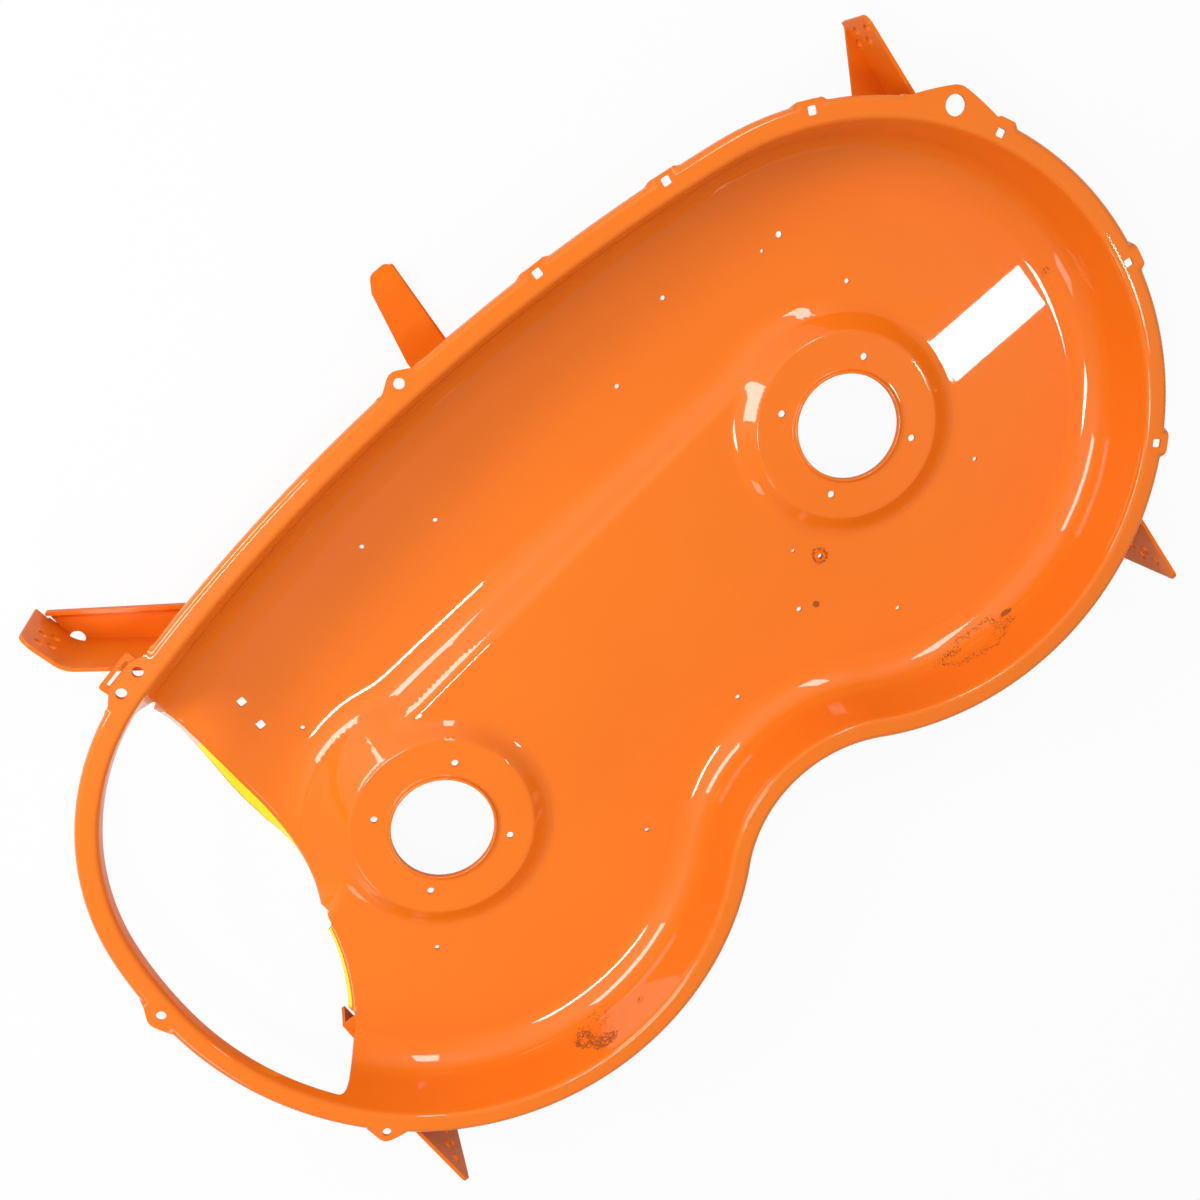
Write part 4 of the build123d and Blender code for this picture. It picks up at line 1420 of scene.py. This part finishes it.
        corners = np.stack([normal[:-1], nxt[:-1], nxt[1:], normal[1:]], axis=2).reshape(-1, 4, 3)
        return points.reshape(-1, 3), quads, corners

    def film(self, stretch: FilmStretch) -> bpy.types.Object:
        """A thin label film on the bent edge: the lip's own grid at two lifts off its face.

        Args:
            stretch: Where the film runs and how wide it is.

        Returns:
            The film, a closed thin slab.
        """
        count = max(self.film_rows, int((stretch.end - stretch.start) / self.film_step))
        place = np.linspace(stretch.start, stretch.end, count)
        width = np.linspace(stretch.low, stretch.high, self.film_columns)
        along, across = np.meshgrid(place, width, indexing="ij")
        limit = self.lip_width(along.ravel()) - self.film_margin
        reach = np.minimum(across.ravel(), np.maximum(limit, self.film_least))
        lower, upper = (self.lip_row(along.ravel(), reach, lift)[1] for lift in self.film_lifts)
        return slab(stretch.name, upper, lower, along.shape)


def slab(
    name: str, upper: np.ndarray, lower: np.ndarray, shape: tuple[int, int]
) -> bpy.types.Object:
    """A closed thin slab between two grids of points.

    Args:
        name: The object's name.
        upper: Points of the upper face, row by row.
        lower: Points of the lower face.
        shape: Rows and columns of both grids.

    Returns:
        The object, with faces pointing outward.
    """
    rows, columns = shape
    index = np.arange(rows * columns).reshape(shape)
    cells = [index[:-1, :-1], index[1:, :-1], index[1:, 1:], index[:-1, 1:]]
    cells = np.stack(cells, axis=2).reshape(-1, 4)
    count = rows * columns
    border = np.concatenate([index[0], index[1:, -1], index[-1, -2::-1], index[-2:0:-1, 0]])
    ahead = np.roll(border, -1)
    walls = np.stack([border, ahead, ahead + count, border + count], axis=1)
    quads = np.concatenate([cells, cells[:, ::-1] + count, walls])
    mesh = mesh_from(name, np.concatenate([upper, lower]) * MM, [quads], None)
    turn_outward(mesh)
    return add_object(mesh)


def turn_outward(mesh: bpy.types.Mesh) -> None:
    """Recalculates a closed mesh's faces so that they point outward."""
    work = bmesh.new()
    work.from_mesh(mesh)
    bmesh.ops.recalc_face_normals(work, faces=work.faces)
    work.to_mesh(mesh)
    work.free()


def mesh_from(
    name: str, points: np.ndarray, groups: Sequence[np.ndarray], normals: np.ndarray | None
) -> bpy.types.Mesh:
    """A mesh from arrays.

    Args:
        name: The mesh's name.
        points: Points in metres.
        groups: Arrays of faces, each with its own number of corners.
        normals: A normal for each corner of each face, or None for those of the faces.

    Returns:
        The mesh, shaded smooth.
    """
    mesh = bpy.data.meshes.new(name)
    corners = np.concatenate([group.ravel() for group in groups]).astype(np.int32)
    sizes = [np.full(len(group), group.shape[1]) for group in groups]
    sizes = np.concatenate(sizes).astype(np.int32)
    starts = np.concatenate([[0], np.cumsum(sizes)[:-1]]).astype(np.int32)
    mesh.vertices.add(len(points))
    mesh.vertices.foreach_set("co", points.astype(np.float32).ravel())
    mesh.loops.add(len(corners))
    mesh.loops.foreach_set("vertex_index", corners)
    mesh.polygons.add(len(sizes))
    mesh.polygons.foreach_set("loop_start", starts)
    mesh.polygons.foreach_set("use_smooth", np.ones(len(sizes), bool))
    mesh.update(calc_edges=True)
    if normals is not None:
        mesh.normals_split_custom_set(normals.tolist())
    return mesh


def add_object(mesh: bpy.types.Mesh) -> bpy.types.Object:
    """An object of the mesh's name in the scene."""
    piece = bpy.data.objects.new(mesh.name, mesh)
    bpy.context.scene.collection.objects.link(piece)
    return piece


class Graph:
    """Short calls for building a shader node tree."""

    def __init__(self, tree: bpy.types.NodeTree) -> None:
        """Keeps the tree that nodes are added to."""
        self.tree = tree

    def feed(self, socket: Socket, value: Any) -> None:
        """Links a socket to an output, or sets its default to a plain value."""
        if isinstance(value, bpy.types.NodeSocket):
            self.tree.links.new(value, socket)
        else:
            socket.default_value = value

    def feed_all(self, node: bpy.types.Node, values: dict[Any, Any]) -> None:
        """Feeds inputs of a node, by name or number."""
        for name, value in values.items():
            self.feed(node.inputs[name], value)

    def node(
        self, kind: str, inputs: dict[Any, Any] | None = None, **settings: Any
    ) -> bpy.types.Node:
        """Adds a node.

        Args:
            kind: The node's type without its ShaderNode prefix.
            inputs: Values or outputs for its inputs, by name or number.
            settings: Properties of the node itself.

        Returns:
            The node.
        """
        node = self.tree.nodes.new("ShaderNode" + kind)
        for name, value in settings.items():
            setattr(node, name, value)
        self.feed_all(node, inputs or {})
        return node

    def place(self) -> Socket:
        """Object coordinates."""
        return self.node("TexCoord").outputs["Object"]

    def math(self, operation: str, first: Any, second: Any, clamp: bool = False) -> Socket:
        """One arithmetic step on two numbers."""
        node = self.node("Math", {0: first, 1: second}, operation=operation, use_clamp=clamp)
        return node.outputs[0]

    def plus(self, first: Any, second: Any, clamp: bool = False) -> Socket:
        """The sum of two numbers."""
        return self.math("ADD", first, second, clamp)

    def less(self, first: Any, second: Any, clamp: bool = False) -> Socket:
        """The first number less the second."""
        return self.math("SUBTRACT", first, second, clamp)

    def times(self, first: Any, second: Any, clamp: bool = False) -> Socket:
        """The product of two numbers."""
        return self.math("MULTIPLY", first, second, clamp)

    def ramp(self, value: Any, low: float, high: float) -> Socket:
        """Maps low to 0 and high to 1 along a smooth curve."""
        node = self.node("MapRange", {"Value": value, "From Min": low, "From Max": high})
        node.interpolation_type = "SMOOTHSTEP"
        return node.outputs["Result"]

    def noise(self, place: Any, scale: float, detail: float = 3.0, rough: float = 0.5) -> Socket:
        """Smooth noise around one half."""
        inputs = {"Vector": place, "Scale": scale, "Detail": detail, "Roughness": rough}
        return self.node("TexNoise", inputs).outputs["Fac"]

    def blend(self, share: Any, first: Any, second: Any) -> Socket:
        """Mixes two colours."""
        node = self.node("Mix", data_type="RGBA")
        self.feed(node.inputs["Factor"], share)
        self.feed(node.inputs[6], first)
        self.feed(node.inputs[7], second)
        return node.outputs[2]


def new_material(name: str) -> tuple[bpy.types.Material, Graph, bpy.types.Node]:
    """Starts a material; gives it, its graph and its Principled shader."""
    material = bpy.data.materials.new(name)
    material.use_nodes = True
    graph = Graph(material.node_tree)
    return material, graph, material.node_tree.nodes["Principled BSDF"]


def group(
    name: str, inputs: dict[str, tuple[str, Any]], outputs: dict[str, str]
) -> tuple[Graph, Any, Any]:
    """Starts a shader node group.

    Args:
        name: The group's name.
        inputs: Socket kind and default for each input.
        outputs: Socket kind for each output.

    Returns:
        The group's graph, its input node and its output node.
    """
    tree = bpy.data.node_groups.new(name, "ShaderNodeTree")
    for label, (kind, default) in inputs.items():
        socket = tree.interface.new_socket(label, in_out="INPUT", socket_type="NodeSocket" + kind)
        socket.default_value = default
    for label, kind in outputs.items():
        tree.interface.new_socket(label, in_out="OUTPUT", socket_type="NodeSocket" + kind)
    return Graph(tree), tree.nodes.new("NodeGroupInput"), tree.nodes.new("NodeGroupOutput")


@dataclass(frozen=True)
class EnamelGroup:
    """Colour drift, faint scuffs and the pebbled skin of sprayed enamel."""

    name: str = "enamel_skin"
    drift: float = 0.35
    scuff_tint: float = 0.3
    scuff_dull: float = 0.2
    scuff_depth: float = 0.4
    haze: float = 0.05

    def build(self) -> bpy.types.NodeTree:
        """The group: colour, roughness and height over the surface.

        Returns:
            The group's node tree.
        """
        inputs = {
            "Place": ("Vector", (0.0, 0.0, 0.0)),
            "Colour": ("Color", (1.0, 1.0, 1.0, 1.0)),
            "Shade": ("Color", (0.5, 0.5, 0.5, 1.0)),
            "Gloss": ("Float", 0.1),
            "Scuffs": ("Float", 0.5),
            "Pebble": ("Float", 1.0),
        }
        outputs = {"Colour": "Color", "Roughness": "Float", "Height": "Float"}
        graph, start, end = group(self.name, inputs, outputs)
        place = start.outputs["Place"]
        drift = graph.ramp(graph.noise(place, 5.0, 4.0), 0.3, 0.75)
        drawn_out = {"Vector": place, "Rotation": (0.0, 0.0, 0.6), "Scale": (1.0, 26.0, 8.0)}
        stretched = graph.node("Mapping", drawn_out).outputs[0]
        streak = graph.ramp(graph.noise(stretched, 22.0, 5.0, 0.6), 0.62, 0.7)
        broken = graph.ramp(graph.noise(place, 16.0, 2.0), 0.52, 0.7)
        scuff = graph.times(graph.times(streak, broken), start.outputs["Scuffs"])
        tint = graph.plus(graph.times(drift, self.drift), graph.times(scuff, self.scuff_tint))
        haze = graph.times(graph.noise(place, 40.0, 3.0), self.haze)
        dull = graph.plus(haze, graph.times(scuff, self.scuff_dull))
        pebble = graph.times(graph.noise(place, 260.0, 1.0), start.outputs["Pebble"])
        values = {
            "Colour": graph.blend(tint, start.outputs["Colour"], start.outputs["Shade"]),
            "Roughness": graph.plus(start.outputs["Gloss"], dull),
            "Height": graph.less(pebble, graph.times(scuff, self.scuff_depth)),
        }
        graph.feed_all(end, values)
        return graph.tree


@dataclass(frozen=True)
class RustGroup:
    """A patch of rust that breaks up into grains toward its edge."""

    name: str = "rust_patch"
    wobble: float = 1.1
    disc_edge: Point = (0.95, 1.4)
    hole_edge: Point = (-0.2, 0.12)
    ring_edge: Point = (0.02, 0.2)
    level: float = 0.72
    contrast: float = 14.0

    def build(self) -> bpy.types.NodeTree:
        """The group: a mask from 0 to 1 around a centre.

        Returns:
            The group's node tree.
        """
        inputs = {
            "Place": ("Vector", (0.0, 0.0, 0.0)),
            "Centre": ("Vector", (0.0, 0.0, 0.0)),
            "Radius": ("Float", 0.02),
            "Turn": ("Float", 0.0),
            "Length": ("Float", 1.0),
            "Hollow": ("Float", 0.0),
            "Grain": ("Float", 260.0),
            "Cover": ("Float", 0.5),
        }
        graph, start, end = group(self.name, inputs, {"Mask": "Float"})
        fact = start.outputs
        ends = {0: fact["Place"], 1: fact["Centre"]}
        offset = graph.node("VectorMath", ends, operation="SUBTRACT").outputs[0]
        turn = {"Vector": offset, "Angle": fact["Turn"]}
        parts = graph.node("VectorRotate", turn, rotation_type="Z_AXIS").outputs[0]
        parts = graph.node("SeparateXYZ", {0: parts}).outputs
        along = graph.math("DIVIDE", parts[0], fact["Length"])
        flat = graph.node("CombineXYZ", {0: along, 1: parts[1], 2: parts[2]}).outputs[0]
        reach = graph.node("VectorMath", {0: flat}, operation="LENGTH").outputs["Value"]
        wobble = graph.times(graph.noise(fact["Place"], 70.0, 4.0, 0.6), self.wobble)
        edge = graph.plus(graph.math("DIVIDE", reach, fact["Radius"]), wobble)
        disc = graph.less(1.0, graph.ramp(edge, *self.disc_edge))
        inner = graph.less(edge, fact["Hollow"])
        hole = graph.less(1.0, graph.ramp(inner, *self.hole_edge))
        ring = graph.less(disc, hole, clamp=True)
        grains = graph.noise(fact["Place"], fact["Grain"], 4.0)
        limit = graph.less(1.0, graph.times(ring, fact["Cover"]))
        mask = graph.times(graph.less(grains, graph.times(limit, self.level)), self.contrast)
        mask = graph.times(mask, graph.ramp(ring, *self.ring_edge), clamp=True)
        graph.feed(end.inputs["Mask"], mask)
        return graph.tree


@dataclass(frozen=True)
class RustPatch:
    """Where a patch of rust lies and how it spreads."""

    centre: tuple[float, float, float]
    radius: float
    length: float = 1.0
    turn: float = 0.0
    hollow: float = 0.0
    grain: float = 260.0
    cover: float = 0.6


@dataclass(frozen=True)
class Enamel:
    """Glossy orange enamel, with rust where it has broken."""

    name: str
    colour: Colour = (0.89, 0.19, 0.0075)
    shade: Colour = (0.83, 0.162, 0.0065)
    rust: Colour = (0.24, 0.05, 0.012)
    rust_mottle: Colour = (0.5, 0.13, 0.025)
    rust_roughness: float = 0.55
    rust_height: float = 2.0
    rust_coat_loss: float = 0.95
    gloss: float = 0.3
    coat: float = 1.0
    coat_roughness: float = 0.018
    under_gloss: float = 0.08
    scuffs: float = 0.35
    pebble: float = 1.0
    bump: float = 0.05
    bump_depth: float = 0.0004
    patches: tuple[RustPatch, ...] = ()

    def material(self, skin: bpy.types.NodeTree, rust: bpy.types.NodeTree) -> bpy.types.Material:
        """The enamel as a material.

        Args:
            skin: The shared group of the sprayed skin.
            rust: The shared group of a rust patch.

        Returns:
            The material.
        """
        material, graph, shader = new_material(self.name)
        place = graph.place()
        values = {
            "Place": place,
            "Colour": (*self.colour, 1.0),
            "Shade": (*self.shade, 1.0),
            "Gloss": self.gloss,
            "Scuffs": self.scuffs,
            "Pebble": self.pebble,
        }
        face = graph.node("Group", values, node_tree=skin).outputs
        colour, rough, height = face["Colour"], face["Roughness"], face["Height"]
        coat: Any = self.coat
        if self.patches:
            mask = self.rust_mask(graph, place, rust)
            grains = graph.noise(place, 420.0, 3.0)
            mottled = graph.blend(grains, (*self.rust, 1.0), (*self.rust_mottle, 1.0))
            colour = graph.blend(mask, colour, mottled)
            rough = graph.plus(rough, graph.times(mask, self.rust_roughness), clamp=True)
            height = graph.plus(height, graph.times(mask, self.rust_height))
            coat = graph.less(coat, graph.times(mask, self.rust_coat_loss))
        relief = {"Strength": self.bump, "Distance": self.bump_depth, "Height": height}
        values = {
            "Base Color": colour,
            "Roughness": rough,
            "Normal": graph.node("Bump", relief).outputs[0],
            "Coat Roughness": self.coat_roughness,
            "Specular IOR Level": self.under_gloss,
            "Coat Weight": coat,
        }
        graph.feed_all(shader, values)
        return material

    def rust_mask(self, graph: Graph, place: Socket, rust: bpy.types.NodeTree) -> Socket:
        """The highest of the masks of all patches of rust.

        Args:
            graph: The material's graph.
            place: Object coordinates.
            rust: The shared group of a rust patch.

        Returns:
            The mask, from 0 to 1.
        """
        masks = []
        for patch in self.patches:
            facts = {name.capitalize(): value for name, value in asdict(patch).items()}
            spot = graph.node("Group", {"Place": place, **facts}, node_tree=rust)
            masks.append(spot.outputs["Mask"])
        highest = masks[0]
        for mask in masks[1:]:
            highest = graph.math("MAXIMUM", highest, mask)
        return highest


@dataclass(frozen=True)
class Film:
    """Glossy label film, scuffed and a little dirty."""

    name: str = "yellow_film"
    colour: Colour = (0.97, 0.86, 0.02)
    dirt: Colour = (0.62, 0.48, 0.05)
    # the pale colour that the film turns to at both its ends
    backing: Colour = (0.78, 0.66, 0.56)
    bare_before: float = -9.0
    bare_after: float = 9.0
    tear: float = 0.002
    stain: float = 0.03
    dirty: float = 0.6
    gloss: float = 0.22
    dull: float = 0.4

    def material(self) -> bpy.types.Material:
        """The film as a material, pale before and after two places along Y.

        Returns:
            The material.
        """
        material, graph, shader = new_material(self.name)
        place = graph.place()
        share = graph.ramp(graph.noise(place, 90.0, 5.0, 0.65), 0.55, 0.8)
        share = graph.times(share, self.dirty)
        # the film is pale before one place along Y and after another, along a ragged line
        ragged = graph.times(graph.less(graph.noise(place, 60.0, 3.0), 0.5), self.stain)
        along = graph.plus(graph.node("SeparateXYZ", {0: place}).outputs[1], ragged)
        before, after = (
            graph.ramp(along, pale_end - self.tear, pale_end + self.tear)
            for pale_end in (self.bare_before, self.bare_after)
        )
        film = graph.blend(share, (*self.colour, 1.0), (*self.dirt, 1.0))
        pale_end = graph.plus(graph.less(1.0, before), after, clamp=True)
        skin = graph.noise(place, 500.0, 2.0)
        relief = {"Strength": 0.1, "Distance": 0.0003, "Height": skin}
        values = {
            "Base Color": graph.blend(pale_end, film, (*self.backing, 1.0)),
            "Roughness": graph.plus(graph.times(share, self.dull), self.gloss),
            "Normal": graph.node("Bump", relief).outputs[0],
        }
        graph.feed_all(shader, values)
        return material


@dataclass(frozen=True)
class Lamp:
    """A soft box: where it hangs, what it looks at, its size and its brightness."""

    name: str
    place: tuple[float, float, float]
    target: tuple[float, float, float]
    size: tuple[float, float]
    radiance: float
    turn: float = 0.0

    def build(self) -> bpy.types.Object:
        """Adds the lamp; its power is radiance times pi times its area.

        Returns:
            The lamp.
        """
        data = bpy.data.lights.new(self.name, "AREA")
        data.shape = "RECTANGLE"
        data.size, data.size_y = self.size
        data.energy = self.radiance * math.pi * self.size[0] * self.size[1]
        lamp = bpy.data.objects.new(self.name, data)
        way = Vector(self.target) - Vector(self.place)
        rotation = way.to_track_quat("-Z", "Y").to_matrix() @ Matrix.Rotation(self.turn, 3, "Z")
        lamp.matrix_world = Matrix.Translation(Vector(self.place)) @ rotation.to_4x4()
        bpy.context.scene.collection.objects.link(lamp)
        return lamp


REAR_STRIP, TUNNEL_BOX = (-1.21, 0.743), (0.33, -0.235)
LAMPS = (
    Lamp(
        "strip_rear_left",
        (*REAR_STRIP, 1.8),
        (*REAR_STRIP, 0.0),
        (0.26, 0.11),
        40.0,
        math.radians(-4.0),
    ),
    Lamp("box_over_tunnel", (*TUNNEL_BOX, 1.8), (*TUNNEL_BOX, 0.0), (0.55, 0.19), 30.0),
    Lamp("box_front_left", (-1.3, -0.8, 1.6), (-0.3, 0.1, 0.0), (0.24, 0.8), 11.0),
    Lamp("box_front_right", (0.6, -1.6, 1.1), (-0.2, 0.1, 0.0), (1.1, 0.42), 12.0),
    Lamp("box_right", (1.1, 0.35, 1.0), (-0.3, 0.0, 0.0), (0.3, 0.6), 3.5),
)


@dataclass(frozen=True)
class Studio:
    """The plain white floor and the pale room around it."""

    floor_z: float = -0.053
    reach: float = 9.0
    ceiling: float = 0.36
    front_glow: float = 0.5
    horizon: float = 0.32
    own_light: float = 0.94
    floor_tone: float = 0.75
    overhead: Point = (0.12, 0.6)
    ahead: Point = (0.1, 0.6)

    def floor(self) -> None:
        """Adds the floor, which looks white to the camera and keeps the shadow."""
        reach = self.reach
        corners = np.array([[-reach, -reach], [reach, -reach], [reach, reach], [-reach, reach]])
        points = np.column_stack([corners, np.full(4, self.floor_z)])
        piece = add_object(mesh_from("floor", points, [np.array([[0, 1, 2, 3]])], None))
        material, graph, shader = new_material("white_floor")
        graph.tree.nodes.remove(shader)
        plain = graph.node("BsdfDiffuse", {"Color": (*[self.floor_tone] * 3, 1.0)})
        bright = graph.node("Emission", {"Color": (1.0, 1.0, 1.0, 1.0), "Strength": 1.0})
        seen = graph.node("LightPath").outputs["Is Camera Ray"]
        share = graph.times(seen, self.own_light)
        mix = graph.node("MixShader", {0: share, 1: plain.outputs[0], 2: bright.outputs[0]})
        graph.feed(graph.tree.nodes["Material Output"].inputs["Surface"], mix.outputs[0])
        piece.data.materials.append(material)

    def room(self) -> None:
        """Sets the world: pale all round, a little brighter overhead and more so in front."""
        world = bpy.data.worlds.new("pale_room")
        bpy.context.scene.world = world
        world.use_nodes = True
        graph = Graph(world.node_tree)
        way = graph.node("TexCoord").outputs["Generated"]
        way = graph.node("SeparateXYZ", {0: way}).outputs
        rise = graph.ramp(way[2], *self.overhead)
        level = graph.plus(self.horizon, graph.times(rise, self.ceiling - self.horizon))
        front = graph.ramp(graph.times(way[1], -1.0), *self.ahead)
        glow = graph.times(graph.times(front, rise), self.front_glow)
        values = {"Color": (1.0, 1.0, 1.0, 1.0), "Strength": graph.plus(level, glow)}
        graph.feed_all(world.node_tree.nodes["Background"], values)


@dataclass(frozen=True)
class CameraView:
    """The camera of the photograph: its place, its axes and its lens."""

    place: tuple[float, float, float] = (-0.3251, -0.5036, 1.3487)
    forward: tuple[float, float, float] = (0.045243, 0.317906, -0.947042)
    up: tuple[float, float, float] = (-0.704634, -0.661847, -0.255833)
    lens: float = 45.63
    film: float = 36.0

    def build(self) -> bpy.types.Object:
        """Adds the camera and makes it the scene's own.

        Returns:
            The camera.
        """
        data = bpy.data.cameras.new("camera")
        data.lens = self.lens
        data.sensor_width = self.film
        data.sensor_fit = "HORIZONTAL"
        camera = bpy.data.objects.new("camera", data)
        forward, up = Vector(self.forward).normalized(), Vector(self.up)
        right = forward.cross(up).normalized()
        upright = right.cross(forward)
        axes = Matrix((right, upright, -forward)).transposed()
        camera.matrix_world = Matrix.Translation(Vector(self.place)) @ axes.to_4x4()
        bpy.context.scene.collection.objects.link(camera)
        bpy.context.scene.camera = camera
        return camera


SHEET_RUST = (
    RustPatch((0.061, 0.2567, 0.0240), 0.0200, hollow=0.72, grain=460.0, cover=0.42),
    RustPatch((0.044, 0.2645, 0.0400), 0.0160, 1.4, -0.35, grain=420.0, cover=0.4),
    RustPatch((0.050, 0.2595, 0.0180), 0.0330, 1.5, -0.35, grain=480.0, cover=0.22),
    RustPatch((-0.4935, 0.2545, 0.0080), 0.0270, 2.6, 0.25, hollow=1.0, grain=700.0, cover=0.42),
    RustPatch((-0.5330, 0.2570, 0.0010), 0.0050, 2.4, 0.25, grain=500.0, cover=0.55),
    RustPatch((-0.778, 0.0335, -0.012), 0.0090, grain=700.0, cover=0.34),
    RustPatch((-0.0054, 0.2656, 0.029), 0.0080, grain=700.0, cover=0.3),
    RustPatch((-0.4044, 0.1135, -0.014), 0.0050, grain=600.0, cover=0.7),
    RustPatch((-0.4391, 0.0798, -0.014), 0.0135, hollow=0.95, grain=500.0, cover=0.5),
)
WELDED = (
    "wheel_bracket_front_left",
    "wheel_bracket_front_right",
    "wheel_bracket_rear_left",
    "wheel_bracket_rear_right",
    "front_hanger",
    "discharge_hinge_plate",
    "weld_nut",
)


def dress(node: str, material: bpy.types.Material) -> None:
    """Gives a carried-over solid its material in every slot.

    Args:
        node: Name of the solid.
        material: The material.
    """
    piece = bpy.data.objects[node]
    if not piece.material_slots:
        piece.data.materials.append(material)
    for slot in piece.material_slots:
        slot.material = material
    LOG.info("%s: %s", node, material.name)


def main() -> None:
    """Builds the deck's looks around its frame."""
    logging.basicConfig(level=logging.INFO, format="%(name)s: %(message)s")
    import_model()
    bpy.context.scene.view_settings.view_transform = "Standard"
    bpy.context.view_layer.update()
    CameraView().build()
    studio = Studio()
    studio.floor()
    studio.room()
    for lamp in LAMPS:
        lamp.build()
    skin, rust = EnamelGroup().build(), RustGroup().build()
    sheet_paint = Enamel("sheet_enamel", patches=SHEET_RUST).material(skin, rust)
    welded_paint = Enamel(
        "bracket_enamel",
        colour=(0.88, 0.175, 0.0075),
        shade=(0.66, 0.115, 0.0055),
        coat=0.12,
        coat_roughness=0.1,
        under_gloss=0.05,
        scuffs=0.8,
    ).material(skin, rust)
    yellow = Film().material()
    # the film material that turns pale at both ends along Y
    pale_tipped = Film("worn_film", bare_before=-0.212, bare_after=-0.042).material()
    sheet = DeckSheet()
    piece = sheet.build()
    piece.data.materials.append(sheet_paint)
    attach(piece, BODY)
    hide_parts("deck_shell")
    LOG.info("sheet: %d faces", len(piece.data.polygons))
    for node in WELDED:
        dress(node, welded_paint)
    for stretch in FILMS:
        film = sheet.film(stretch)
        film.data.materials.append(yellow if stretch.whole else pale_tipped)
        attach(film, BODY)
        if stretch.replaced:
            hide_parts(stretch.replaced)
        LOG.info("%s: %s", film.name, film.data.materials[0].name)


if __name__ == "__main__":
    main()
